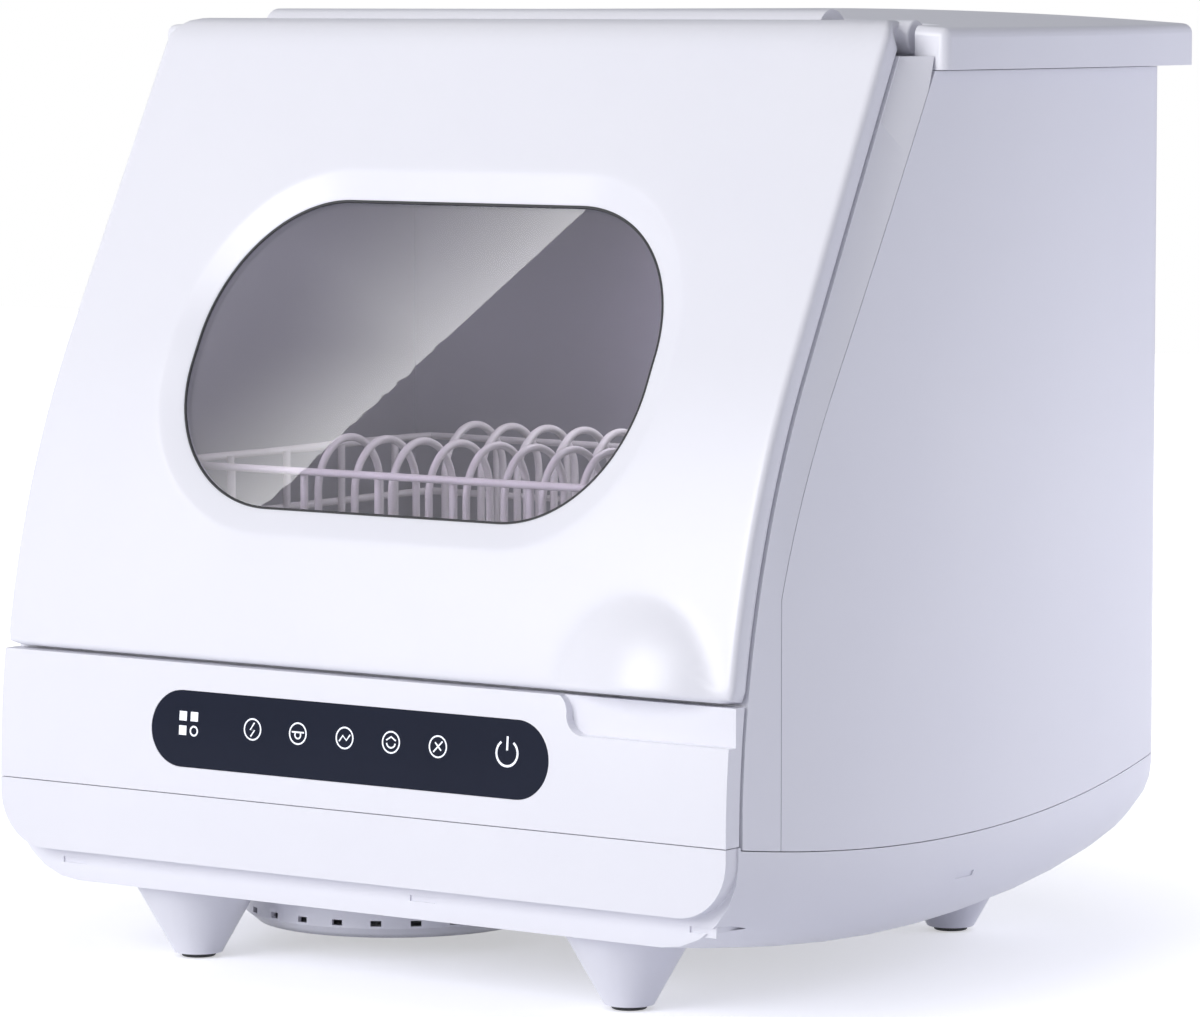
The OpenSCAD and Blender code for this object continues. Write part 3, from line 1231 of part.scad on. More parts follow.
// Spigot through the back panel: collar inside, flange outside, plain or threaded end
module spigot(x, r, bore, tail) color(nylon) placed() translate([x, 0, fitting_z]) difference() {
    union() {
        rod_y(body_d - wall - tail, body_d + 1, r - 0.2);
        rod_y(body_d - wall - 4, body_d - wall - 0.2, r + 2.2);
        rod_y(body_d + 0.2, body_d + 2, r + 3);
        rod_y(body_d + 1, body_d + fitting_out, r);
    }
    rod_y(body_d - 60, body_d + 40, bore);
}
module inlet_spigot() spigot(-fitting_x, inlet_r, inlet_r - 5, 6);
module drain_spigot() spigot(drain_x, drain_r, drain_r - 3, drain_tail);
module inlet_valve() color(steel) placed() {
    translate([-fitting_x, 0, fitting_z]) difference() {
        union() {
            rod_y(valve_y - 14, body_d - wall - 6.3, 11);
            translate([0, valve_y, -14]) cylinder(r = 9, h = 20);
        }
        rod_y(valve_y - 10, body_d, 6);
    }
}
module power_inlet() color(black) placed() difference() {
    union() {
        box([fitting_x - 13.7, body_d - 20, fitting_z - 9.7], [fitting_x + 13.7, body_d + 1, fitting_z + 9.7]);
        box([fitting_x - 20, body_d + 0.1, fitting_z - 13], [fitting_x + 20, body_d + 2.5, fitting_z + 13]);
    }
    box([fitting_x - 11, body_d - 16, fitting_z - 7], [fitting_x + 11, body_d + 10, fitting_z + 7]);
}
module board_box() color(black) placed() difference() {
    a = [board_x - board_w / 2, board_y - board_l / 2, board_z];
    b = [board_x + board_w / 2, board_y + board_l / 2, board_z + 28];
    box(a, b);
    box(a + [2, 2, 2], b + [-2, -2, 12]);
}
module main_board() color(board_green) placed() {
    box([board_x - board_w / 2 + 3, board_y - board_l / 2 + 3, board_z + 6],
        [board_x + board_w / 2 - 3, board_y + board_l / 2 - 3, board_z + 7.6]);
    for (p = [[-30, -20], [-30, 20], [30, -20], [30, 20]]) translate([board_x + p[0], board_y + p[1], board_z + 2.2]) cylinder(r = 4, h = 5);
    box([board_x - 20, board_y - 20, board_z + 7], [board_x + 14, board_y + 10, board_z + 24]);
    translate([board_x + 30, board_y, board_z + 7]) cylinder(r = 9, h = 18);
}
module reed_switch() color(black) placed() box(
    [-20, front_y(lid_low_z) + edge_d + 2, lid_low_z - 18], [0, front_y(lid_low_z) + edge_d + 8, lid_low_z - 12.3]);

module case_screws() color(steel) placed() {
    for (x = [-corner_x + 10, corner_x - 10], z = [rear_seam_z + 12, panel_top_z - 12]) translate([x, 0, z]) {
        rod_y(body_d - 12, body_d, screw_r);
        rod_y(body_d + 0.05, body_d + 2, 3.6);
        rod_y(body_d - 0.1, body_d + 0.2, screw_r);
    }
    for (sx = [-1, 1], y = [leg_front_y, leg_rear_y]) translate([sx * leg_x, y, 0]) {
        translate([0, 0, 11]) cylinder(r = 4, h = 2.9);
        translate([0, 0, 12]) cylinder(r = screw_r, h = 26);
    }
}

base_tray();
vent_disc();
leg_front_left();
leg_front_right();
leg_rear_left();
leg_rear_right();
foot_pads();
side_panel_left();
side_panel_right();
back_panel();
front_frame();
control_fascia();
touch_panel();
touch_board();
top_deck();
filler_strainer();
top_cover();
cover_hinge_pins();
lid_shell();
window_bezel();
window_pane();
window_gasket();
lid_liner();
lid_magnet();
lid_hinge_pins();
hinge_dampers();
reed_switch();
tub();
tub_gasket();
rack_glides();
heater_ring();
filter_plate();
filter_cup();
sump();
spray_arm();
spray_spindle();
rack_floor();
rack_sides();
rack_front();
rack_back();
plate_loops();
volute();
pump_motor();
wash_impeller();
drain_pump();
drain_impeller();
fan_housing();
fan_impeller();
air_duct();
water_tank();
inlet_valve();
inlet_spigot();
drain_spigot();
power_inlet();
main_board();
board_box();
pump_hoses();
case_screws();
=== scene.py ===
# %% [markdown]
# # A countertop dishwasher
# The imported model gives the sizes and the places. This file gives it its looks: the moulded
# lid with its thumb dome, the soft edges of the casing, the touch strip, and a finish for
# every piece inside. The frame is loaded first.
# Lengths are written in mm, with y measured from the foot of the face, as on a drawing, and
# one function turns them to the metres that Blender works in.

# %% Load the frame
import json
import math

import bmesh
import bpy
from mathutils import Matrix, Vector

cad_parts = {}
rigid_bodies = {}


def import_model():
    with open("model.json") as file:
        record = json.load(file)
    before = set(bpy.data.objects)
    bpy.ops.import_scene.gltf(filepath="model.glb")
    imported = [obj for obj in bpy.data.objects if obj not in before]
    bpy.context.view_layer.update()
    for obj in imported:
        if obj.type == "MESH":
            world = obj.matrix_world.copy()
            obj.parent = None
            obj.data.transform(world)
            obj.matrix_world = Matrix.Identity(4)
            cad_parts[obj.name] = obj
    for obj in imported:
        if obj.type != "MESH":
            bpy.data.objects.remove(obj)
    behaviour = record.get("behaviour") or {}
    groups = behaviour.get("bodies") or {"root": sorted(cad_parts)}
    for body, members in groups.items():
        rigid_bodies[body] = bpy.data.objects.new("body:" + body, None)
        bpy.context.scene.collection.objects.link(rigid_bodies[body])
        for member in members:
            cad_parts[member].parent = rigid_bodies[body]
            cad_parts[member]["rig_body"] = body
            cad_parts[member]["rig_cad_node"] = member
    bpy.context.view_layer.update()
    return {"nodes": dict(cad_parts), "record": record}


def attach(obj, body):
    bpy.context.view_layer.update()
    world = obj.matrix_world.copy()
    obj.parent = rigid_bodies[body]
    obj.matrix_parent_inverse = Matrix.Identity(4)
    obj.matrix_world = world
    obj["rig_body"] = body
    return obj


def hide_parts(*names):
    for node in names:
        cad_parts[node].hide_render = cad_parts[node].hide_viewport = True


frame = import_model()
nodes = frame["nodes"]

MM = 0.001
MID_Y = 185.337  # how far the foot of the face lies before the middle, in mm


def place(x, y, z):
    """A point given in mm, with y measured from the foot of the face, in metres."""
    return Vector((x * MM, (y - MID_Y) * MM, z * MM))


# %% [markdown]
# ## Camera
# The photograph was taken from the right front, a little above the machine, with a long
# lens. The place and the lens were fitted to the edges of the casing. A camera looks along
# its own -Z, so the line to the aim point gives its turn.

# %% Set the camera
CAMERA_AT, CAMERA_AIM = (1544.6, -1983.1, 435.4), (90.2, 64.1, 213.8)
bpy.ops.object.camera_add(location=place(*CAMERA_AT))
camera = bpy.context.object
aim = place(*CAMERA_AIM) - camera.location
camera.rotation_euler = aim.to_track_quat("-Z", "Y").to_euler()
camera.data.sensor_width = 36
camera.data.lens = 173.95
camera.data.clip_end = 30
bpy.context.scene.camera = camera
print("camera at", tuple(round(v, 3) for v in camera.location))

# %% [markdown]
# ## Helpers for materials
# Colours are written as they look on a screen, so one function turns them to linear light.
# One small function adds a node, sets its values and links its inputs. Moulded plastic is
# never quite even, so three helpers let a noise vary its colour, its gloss and its surface.


# %% Colours and nodes
def linear(hex_colour):
    """sRGB hex to linear RGBA."""
    parts = [int(hex_colour[i:i + 2], 16) / 255 for i in (1, 3, 5)]
    return [c / 12.92 if c <= 0.04045 else ((c + 0.055) / 1.055) ** 2.4 for c in parts] + [1.0]


def add_node(tree, kind, values=None, **settings):
    """Adds a node. values sets sockets by name, and links a socket where the value is one."""
    node = tree.nodes.new(kind)
    for name, value in settings.items():
        setattr(node, name, value)
    for name, value in (values or {}).items():
        if isinstance(value, bpy.types.NodeSocket):
            tree.links.new(value, node.inputs[name])
        else:
            node.inputs[name].default_value = value
    return node


def new_finish(name, colour, roughness, ior=1.5, metallic=0.0):
    """A material with its Principled shader and Object coordinates."""
    finish = bpy.data.materials.new(name)
    finish.use_nodes = True
    tree = finish.node_tree
    shader = tree.nodes["Principled BSDF"]
    shader.inputs["Base Color"].default_value = linear(colour)
    shader.inputs["Roughness"].default_value = roughness
    shader.inputs["Metallic"].default_value = metallic
    if not metallic:
        shader.inputs["IOR"].default_value = ior
    spot = add_node(tree, "ShaderNodeTexCoord").outputs["Object"]
    return finish, tree, shader, spot


def mottle(tree, spot, size_mm, detail=2.0):
    """Noise whose blotches are about size_mm across."""
    values = {"Vector": spot, "Scale": 1000 / size_mm, "Detail": detail}
    return add_node(tree, "ShaderNodeTexNoise", values)


def vary_colour(tree, shader, noise, dark, light):
    """Lets a noise run between two close colours."""
    ramp = add_node(tree, "ShaderNodeMix", {"Factor": noise.outputs["Fac"]}, data_type="RGBA")
    ramp.inputs["A"].default_value = linear(dark)
    ramp.inputs["B"].default_value = linear(light)
    tree.links.new(ramp.outputs["Result"], shader.inputs["Base Color"])


def vary_roughness(tree, shader, noise, low, high):
    """Lets a noise run between two roughness values."""
    values = {"Value": noise.outputs["Fac"], "To Min": low, "To Max": high}
    span = add_node(tree, "ShaderNodeMapRange", values)
    tree.links.new(span.outputs["Result"], shader.inputs["Roughness"])


def grain(tree, shader, noise, height_mm, strength):
    """Lets a noise bend the light on the surface, as a low relief would."""
    values = {"Height": noise.outputs["Fac"], "Distance": height_mm * MM, "Strength": strength}
    bump = add_node(tree, "ShaderNodeBump", values)
    tree.links.new(bump.outputs["Normal"], shader.inputs["Normal"])


print("white of the casing in linear light", [round(c, 3) for c in linear("#F1F1F8")])


# %% [markdown]
# ## Finishes
# The casing is injection-moulded ABS in a cool white. Polished moulds leave a satin gloss
# with a faint waviness, so the colour hardly moves over 90 mm, the gloss varies over 35 mm,
# and a bump of 14 mm waves bends the highlights a little.

# %% White ABS of the casing
abs_white, tree, shader, spot = new_finish("abs_moulded_white", "#F1F1F8", 0.3, 1.53)
vary_colour(tree, shader, mottle(tree, spot, 90), "#EFEFF7", "#F3F3F9")
vary_roughness(tree, shader, mottle(tree, spot, 35, 4), 0.26, 0.36)
grain(tree, shader, mottle(tree, spot, 14), 0.05, 0.25)
print("finish", abs_white.name)

# %% [markdown]
# The lid's liner is polypropylene, a softer and greyer plastic with a fine matt texture,
# drawn at 1.2 mm, coarser than the real one, so that it shows. The tank is blown from the
# milky natural plastic, which lets some light in. The rack's steel wires are dipped in
# nylon, whose coat is smooth, thick and slightly uneven.

# %% Grey polypropylene, milky tank and white nylon
pp_grey, tree, shader, spot = new_finish("polypropylene_textured_grey", "#C9CBD2", 0.5, 1.49)
vary_colour(tree, shader, mottle(tree, spot, 40), "#C4C6CE", "#CDCFD6")
grain(tree, shader, mottle(tree, spot, 1.2), 0.05, 0.4)

tank_milky, tree, shader, spot = new_finish("polypropylene_blown_milky", "#E4E9EE", 0.35, 1.49)
vary_colour(tree, shader, mottle(tree, spot, 60), "#DDE3EA", "#EAEEF2")
grain(tree, shader, mottle(tree, spot, 6), 0.1, 0.3)
shader.inputs["Subsurface Weight"].default_value = 0.3
shader.inputs["Subsurface Scale"].default_value = 0.004

nylon_white, tree, shader, spot = new_finish("nylon_coating_white", "#EDEDEA", 0.38, 1.53)
vary_colour(tree, shader, mottle(tree, spot, 15), "#E7E7E3", "#F1F1EE")
grain(tree, shader, mottle(tree, spot, 2.5), 0.06, 0.35)
print("finishes", pp_grey.name, tank_milky.name, nylon_white.name)

# %% [markdown]
# The tub and the spray arm are pressed from stainless sheet, brushed along its length: a
# noise stretched thirty times along X gives the brush lines, about 0.5 mm apart. Screws and
# pins are zinc-plated. Seals and feet are matt EPDM rubber, and the power inlet and the
# pumps are black polypropylene with a fine moulded texture.

# %% Stainless steel and black plastic
tub_steel, tree, shader, spot = new_finish("stainless_sheet_brushed", "#C3C5C9", 0.3, metallic=1.0)
stretch = add_node(tree, "ShaderNodeMapping", {"Vector": spot, "Scale": (0.033, 1, 1)})
lines = mottle(tree, stretch.outputs["Vector"], 0.5, 1)
vary_colour(tree, shader, mottle(tree, spot, 120), "#BCBFC4", "#C9CBCF")
vary_roughness(tree, shader, lines, 0.36, 0.5)
grain(tree, shader, lines, 0.004, 0.15)

plain_steel, tree, shader, spot = new_finish("steel_zinc_plated", "#B9BCC2", 0.35, metallic=1.0)
vary_colour(tree, shader, mottle(tree, spot, 12), "#AFB3BA", "#C1C4CA")
vary_roughness(tree, shader, mottle(tree, spot, 4), 0.28, 0.42)

pp_black, tree, shader, spot = new_finish("polypropylene_moulded_black", "#232428", 0.45, 1.49)
vary_colour(tree, shader, mottle(tree, spot, 30), "#1F2024", "#28292D")
grain(tree, shader, mottle(tree, spot, 1.5), 0.05, 0.4)

rubber_black, tree, shader, spot = new_finish("epdm_rubber_black", "#26272A", 0.6, 1.52)
vary_colour(tree, shader, mottle(tree, spot, 20), "#222326", "#2B2C30")
grain(tree, shader, mottle(tree, spot, 2), 0.05, 0.4)
print("finishes", tub_steel.name, plain_steel.name, pp_black.name, rubber_black.name)

# %% [markdown]
# The window is smoked tempered glass with a faint violet cast. The smoke is in the glass
# itself, so the colour is that of the light it lets through. The touch strip is printed
# acrylic, nearly black with a blue tint, and dull enough to keep its colour under the lamps.
# Circuit boards are green laminate. The printed signs glow a little, as if lit from behind.

# %% Glass, acrylic and circuit board
smoked_glass, tree, shader, spot = new_finish("tempered_glass_smoked", "#EBE4F2", 0.01, 1.5)
vary_roughness(tree, shader, mottle(tree, spot, 60), 0.004, 0.012)
shader.inputs["Transmission Weight"].default_value = 1.0

acrylic_navy, tree, shader, spot = new_finish("acrylic_printed_navy", "#1C2132", 0.24, 1.49)
vary_colour(tree, shader, mottle(tree, spot, 50), "#1A1F2F", "#1F2435")
vary_roughness(tree, shader, mottle(tree, spot, 20), 0.2, 0.28)
shader.inputs["Specular IOR Level"].default_value = 0.1

laminate_green, tree, shader, spot = new_finish("circuit_laminate_green", "#2E6A45", 0.4, 1.55)
vary_colour(tree, shader, mottle(tree, spot, 3, 0), "#28603E", "#35754D")

print_white_painted_glow, tree, shader, spot = new_finish("screen_print_white", "#F4F6FA", 0.45)
vary_colour(tree, shader, mottle(tree, spot, 5), "#EEF1F6", "#FAFBFD")
# The emission is a painted glow: it makes the white print brighter than the lamps alone would.
shader.inputs["Emission Color"].default_value = linear("#E8EEFF")
shader.inputs["Emission Strength"].default_value = 0.35
print("finishes", smoked_glass.name, acrylic_navy.name, laminate_green.name, print_white_painted_glow.name)

# %% [markdown]
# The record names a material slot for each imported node, so one table dresses them all.

# %% Every node gets its finish
SLOT_FINISH = {
    "white_shell": abs_white, "liner_grey": pp_grey, "tub_steel": tub_steel, "steel": plain_steel,
    "rubber": rubber_black, "smoked_glass": smoked_glass, "touch_navy": acrylic_navy,
    "white_nylon": nylon_white, "board": laminate_green, "black_plastic": pp_black, "tank": tank_milky,
}
slot_of = {part["node"]: part["material_slot"] for part in frame["record"]["subparts"]}
for name, thing in nodes.items():
    thing.data.materials.clear()
    thing.data.materials.append(SLOT_FINISH[slot_of[name]])
print("dressed", len(nodes), "nodes")

# %% [markdown]
# ## Soft edges
# A mould never has a knife edge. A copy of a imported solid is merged, its flat triangles are
# joined into whole faces, and a Bevel modifier rounds what is sharper than 40 degrees. It is
# then shaded smooth by angle, so that arcs made of short flats look round, and its normals
# are weighted by area, so that large flats stay flat beside their round edges.


# %% Select, shade and finish
MERGE = 2e-6  # points closer than this are one, in metres
SHARP, FLAT, SMOOTH = math.radians(40), math.radians(0.3), math.radians(32)


def deselect_all():
    for other in bpy.context.selected_objects:
        other.select_set(False)


def make_active(thing):
    """Selects one object alone, as the operators need it."""
    deselect_all()
    thing.select_set(True)
    bpy.context.view_layer.objects.active = thing


def finish_modifiers(thing):
    """Applies each modifier in turn."""
    make_active(thing)
    for modifier in list(thing.modifiers):
        bpy.ops.object.modifier_apply(modifier=modifier.name)


def shade_smooth(thing, angle=SMOOTH):
    make_active(thing)
    bpy.ops.object.shade_smooth_by_angle(angle=angle)


print("edges over", round(math.degrees(SHARP)), "degrees are rounded")


# %% Copy a solid and round its edges
def soft_copy(node, radius_mm):
    """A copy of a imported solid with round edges, which stands for it."""
    piece = nodes[node].copy()
    piece.data = nodes[node].data.copy()
    piece.name = node + "_soft"
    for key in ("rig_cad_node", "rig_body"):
        if key in piece:
            del piece[key]
    piece.parent = None
    bpy.context.scene.collection.objects.link(piece)
    mesh = bmesh.new()
    mesh.from_mesh(piece.data)
    bmesh.ops.remove_doubles(mesh, verts=mesh.verts, dist=MERGE)
    bmesh.ops.dissolve_limit(mesh, angle_limit=FLAT, verts=mesh.verts, edges=mesh.edges)
    mesh.to_mesh(piece.data)
    mesh.free()
    if radius_mm:
        bevel = piece.modifiers.new("edges", "BEVEL")
        bevel.width, bevel.segments = radius_mm * MM, 3
        bevel.limit_method, bevel.angle_limit = "ANGLE", SHARP
        bevel.miter_outer = "MITER_ARC"
        finish_modifiers(piece)
    shade_smooth(piece)
    even = piece.modifiers.new("even", "WEIGHTED_NORMAL")
    even.keep_sharp = True
    finish_modifiers(piece)
    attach(piece, nodes[node]["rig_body"])
    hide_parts(node)
    print(piece.name, len(piece.data.polygons), "faces")
    return piece


# %% [markdown]
# Big mouldings get a radius of about 1 mm, small ones half of that, and the rims of the
# legs 1.5 mm. The pane keeps its edges and is only shaded smooth, so that it mirrors
# without breaks at the flats of its curve.

# %% Round the casing's edges
SOFT_EDGES = {
    "side_panel_left": 1.2, "side_panel_right": 1.2, "back_panel": 0.8, "front_frame": 0.8,
    "control_fascia": 1.0, "top_deck": 0.8, "base_tray": 1.0, "vent_disc": 0.8,
    "leg_front_left": 1.5, "leg_front_right": 1.5, "leg_rear_left": 1.5, "leg_rear_right": 1.5,
    "touch_panel": 0.3, "foot_pads": 0.4, "power_inlet": 0.6, "inlet_spigot": 0.5,
    "drain_spigot": 0.5, "lid_liner": 0.6, "filler_strainer": 0.5, "spray_arm": 1.0,
}
for name, radius in SOFT_EDGES.items():
    soft_copy(name, radius)
smooth_pane = soft_copy("window_pane", 0)

# %% [markdown]
# The top cover has fuller edges than its 2.5 mm wall would allow inside. A modifier would
# stop at the shortest edge, so only the edges of the outer skin are picked, by the direction
# of the faces beside them, and bevelled at 4 mm.


# %% Round the top cover's outer edges
UNDERSIDE = -0.5  # a face whose normal points further down than this stays as it is


def round_outer_edges(piece, middle, radius_mm, segments):
    """Bevels the sharp edges whose faces both look away from the middle."""
    mesh = bmesh.new()
    mesh.from_mesh(piece.data)
    mesh.normal_update()
    chosen = []
    for edge in mesh.edges:
        if len(edge.link_faces) != 2 or edge.calc_face_angle() < SHARP:
            continue
        outward = (edge.verts[0].co + edge.verts[1].co) / 2 - middle
        if all(face.normal.dot(outward) > 0 and face.normal.z > UNDERSIDE
               for face in edge.link_faces):
            chosen.append(edge)
    bmesh.ops.bevel(mesh, geom=chosen, offset=radius_mm * MM, segments=segments, profile=0.5,
                    affect="EDGES", clamp_overlap=False)
    bmesh.ops.remove_doubles(mesh, verts=mesh.verts, dist=MERGE)
    bmesh.ops.dissolve_degenerate(mesh, edges=mesh.edges, dist=MERGE)
    print("open edges", sum(not edge.is_manifold for edge in mesh.edges))
    mesh.to_mesh(piece.data)
    mesh.free()
    shade_smooth(piece)
    print(piece.name, "rounded", len(chosen), "edges")


COVER_MIDDLE = place(0, 260, 395)
cover_soft = soft_copy("top_cover", 0)
round_outer_edges(cover_soft, COVER_MIDDLE, radius_mm=4.0, segments=5)

# %% [markdown]
# The slits in the lower band are shallow: a light web of plastic closes each a little under
# the surface. The webs are thin plates with soft edges. The slit in the hull's side leans
# with the hull, so its web is turned by 20 degrees.


# %% Close the slits under the surface
def web(name, low, high, turn=0.0):
    """A thin plate between two corners in mm, turned about Y round its middle."""
    deselect_all()
    middle = [(a + b) / 2 for a, b in zip(low, high)]
    bpy.ops.mesh.primitive_cube_add(size=1, location=place(*middle), rotation=(0, turn, 0))
    piece = bpy.context.object
    piece.name = name
    piece.scale = [(b - a) * MM for a, b in zip(low, high)]
    bpy.ops.object.transform_apply(location=True, rotation=True, scale=True)
    bevel = piece.modifiers.new("edges", "BEVEL")
    bevel.width, bevel.segments = 0.15 * MM, 2
    finish_modifiers(piece)
    piece.data.materials.append(abs_white)
    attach(piece, "chassis")
    print(name, len(piece.data.polygons), "faces")


SLIT_Z = 44.3
# middle and right end of each slit in front; the last one stops at the hull's corner
for k, (x, right) in enumerate(((-163, -154), (35, 44), (183, 189))):
    web(f"slit_web_{k}", (x - 9, 9.5, SLIT_Z - 3), (right, 10.6, SLIT_Z + 3))
web("slit_web_side", (208.0, 164.5, 46.5), (209.0, 181.5, 54.0), math.radians(20))
web("slit_web_corner", (186.0, 11.0, 42.8), (187.4, 29.6, 45.8))

# %% [markdown]
# ## Lid
# The lid is one moulded sheet: a long curve in front, a shoulder on top, a sloping band
# round the window and a thumb dome in its lower right corner. Boxes can't give such a skin
# even highlights. So it is spun up as rings of points that run from the window's edge to
# the rim and back inside, each set on the face by its distance along the curve.

# %% The curve of the face
FACE_R, FOOT_Z, LEAN = 430.0, 81.0, math.radians(28)  # the arc starts upright at its foot
LOW_Z, SHOULDER_R = 141.7, 20.0  # the lid's lower edge, and the bend at its top
TURN = (FACE_R * (1 - math.cos(LEAN)), FOOT_Z + FACE_R * math.sin(LEAN))
SHOULDER = (138.186, 405.5)
START = math.asin((LOW_Z - FOOT_Z) / FACE_R)
ROUND_L = FACE_R * (LEAN - START)
STRAIGHT_L = (SHOULDER[1] + SHOULDER_R * math.sin(LEAN) - TURN[1]) / math.cos(LEAN)
BEND_L = SHOULDER_R * (math.pi / 2 - LEAN)
TOP_L = 11.0
FULL_L = ROUND_L + STRAIGHT_L + BEND_L + TOP_L


def on_face(s):
    """Place (y, z) and outward direction at a distance s along the face from the lid's lower edge."""
    if s < ROUND_L:
        a = START + s / FACE_R
        return (FACE_R - FACE_R * math.cos(a), FOOT_Z + FACE_R * math.sin(a)), (-math.cos(a), math.sin(a))
    s -= ROUND_L
    if s < STRAIGHT_L:
        return ((TURN[0] + s * math.sin(LEAN), TURN[1] + s * math.cos(LEAN)),
                (-math.cos(LEAN), math.sin(LEAN)))
    s -= STRAIGHT_L
    if s < BEND_L:
        a = LEAN + s / SHOULDER_R
        return ((SHOULDER[0] - SHOULDER_R * math.cos(a), SHOULDER[1] + SHOULDER_R * math.sin(a)),
                (-math.cos(a), math.sin(a)))
    s -= BEND_L
    return (SHOULDER[0] + s, SHOULDER[1] + SHOULDER_R), (0.0, 1.0)


def along_face(z):
    """Distance along the face at a height under the shoulder."""
    if z < TURN[1]:
        return FACE_R * (math.asin((z - FOOT_Z) / FACE_R) - START)
    return ROUND_L + (z - TURN[1]) / math.cos(LEAN)


print("lid length along the face", round(FULL_L, 1), "mm")


# %% [markdown]
# A ring round the window and a ring along the rim have the same number of points, in the
# same directions, so that they can be joined. A direction's length to a round rectangle is
# found by halving a span forty times, which is short to write and exact enough.

# %% Outlines of the window and the rim
def reach(turn, half_w, half_h, corner):
    """Distance from the middle to a round rectangle's edge in a direction."""
    ux, uz = math.cos(turn), math.sin(turn)
    low, high = 0.0, half_w + half_h
    for _ in range(40):
        t = (low + high) / 2
        qx, qz = abs(t * ux) - half_w + corner, abs(t * uz) - half_h + corner
        out = math.hypot(max(qx, 0), max(qz, 0)) + min(max(qx, qz), 0) - corner
        low, high = (t, high) if out < 0 else (low, t)
    return t


WINDOW_Z, WINDOW_W, WINDOW_H, WINDOW_R = 278.0, 252.0, 136.0, 62.0
HALF_W, RIM_CORNER, TOP_CORNER = 200.0, 4.0, 8.0
AROUND, PACKING = 288, 0.06
MIDDLE_S = along_face(WINDOW_Z)
# directions are packed closer where the rim turns its corners
turns = []
for i in range(AROUND):
    a = 2 * math.pi * (i + 0.5) / AROUND
    turns.append(a + PACKING * math.sin(4 * a))


def window_ring(out):
    """Ring of (x, s) at a distance outside the window's edge."""
    ring = []
    for a in turns:
        t = reach(a, WINDOW_W / 2 + out, WINDOW_H / 2 + out, WINDOW_R + out)
        ring.append((t * math.cos(a), along_face(WINDOW_Z + t * math.sin(a))))
    return ring


def rim_ring(inset):
    """Ring of (x, s) at a distance inside the lid's rim."""
    ring = []
    for a in turns:
        ux, uz = math.cos(a), math.sin(a)
        up = (FULL_L - MIDDLE_S) if uz > 0 else MIDDLE_S
        corner = max(RIM_CORNER - inset, 0.3)
        t = reach(math.atan2(uz, ux), HALF_W - inset, up - inset, corner)
        ring.append((t * ux, MIDDLE_S + t * uz))
    return ring


def between(a, b, t):
    """A ring part of the way from one ring to another."""
    return [((1 - t) * p[0] + t * q[0], (1 - t) * p[1] + t * q[1]) for p, q in zip(a, b)]


print("points in a ring", AROUND)

# %% [markdown]
# The thumb dome is a ball whose middle lies behind the skin. Where the ball stands out, the
# skin is lifted to it, with a small rounding so that the foot of the dome isn't a crease.

# %% The thumb dome, and a point of the skin
DOME = Vector((151.0, 66.035, 132.0))
DOME_R, DOME_SOFT, DOME_END = 74.0, 1.2, -20


def dome_height(x, s):
    """How far the thumb dome lifts the skin."""
    (y, z), (ny, nz) = on_face(s)
    px, py, pz = x - DOME.x, y - DOME.y, z - DOME.z
    half = py * ny + pz * nz
    left = half * half - (px * px + py * py + pz * pz - DOME_R * DOME_R)
    if left <= 0:
        return 0.0
    h = -half + math.sqrt(left)
    return (h + math.sqrt(h * h + DOME_SOFT * DOME_SOFT)) / 2 if h > DOME_END else 0.0


def lid_point(x, s, depth, lift):
    """A point of the lid, depth mm under its outer face, with its share of the dome."""
    (y, z), (ny, nz) = on_face(min(max(s, 0.0), FULL_L))
    fall = max(0.0, z - (SHOULDER[1] + SHOULDER_R - TOP_CORNER))
    side = HALF_W - TOP_CORNER + math.sqrt(max(0.0, TOP_CORNER ** 2 - fall ** 2))
    x = x * side / HALF_W
    depth = depth - lift * dome_height(x, s)
    return place(x, y - depth * ny, z - depth * nz)


print("the dome stands out by", round(dome_height(DOME.x, along_face(DOME.z + 20)), 1), "mm")

# %% [markdown]
# Each pair below is a distance outside the window's edge, or inside the rim, and a depth
# under the face. Read in order they draw the section: up the sloping band from the pane,
# over the face, round the rim, 10 mm deep, and back behind a wall of 2.5 mm.

# %% Rings of the lid, from the pane over the face to the rim and back inside
WALL, ROWS_OUT, ROWS_IN, BAND_OUT, RIM_IN = 2.5, 18, 9, 18, 8
BAND = ((0.3, 4.9), (0.0, 4.6), (0.25, 4.3), (1.0, 3.95), (4.0, 2.85), (8.0, 1.4),
        (10.6, 0.5), (11.6, 0.22), (12.8, 0.06), (14.5, 0.0), (BAND_OUT, 0.0))
RIM = ((RIM_IN, 0, 1), (5, 0, 1), (3, 0, 1), (2.1, 0.14, 1), (1.3, 0.5, 1), (0.6, 1.1, 1),
       (0.2, 1.9, 1), (0, 3, 1), (0, 6.5, 0.5), (0, 9.4, 0.1), (0.3, 9.85, 0), (1, 10, 0),
       (2.1, 10, 0), (2.5, 9.6, 0.1), (2.5, 6, 0.6), (2.6, 3.2, 1), (3.4, WALL, 1),
       (RIM_IN, WALL, 1))
BACK_OF_BAND = ((BAND_OUT, WALL), (12.5, 2.6), (9.4, 3.4), (8.7, 4.9))

band_end, rim_start = window_ring(BAND_OUT), rim_ring(RIM_IN)
rings = [(window_ring(out), depth, 1.0) for out, depth in BAND]
rings += [(between(band_end, rim_start, k / ROWS_OUT), 0.0, 1.0) for k in range(1, ROWS_OUT)]
rings += [(rim_ring(inset), depth, lift) for inset, depth, lift in RIM]
rings += [(between(rim_start, band_end, k / ROWS_IN), WALL, 1.0) for k in range(1, ROWS_IN)]
rings += [(window_ring(out), depth, 1.0) for out, depth in BACK_OF_BAND]
print("lid rings", len(rings), "of", AROUND)


# %% Join the rings to a skin
CREASE = math.radians(38)  # the skin stays sharp over this angle


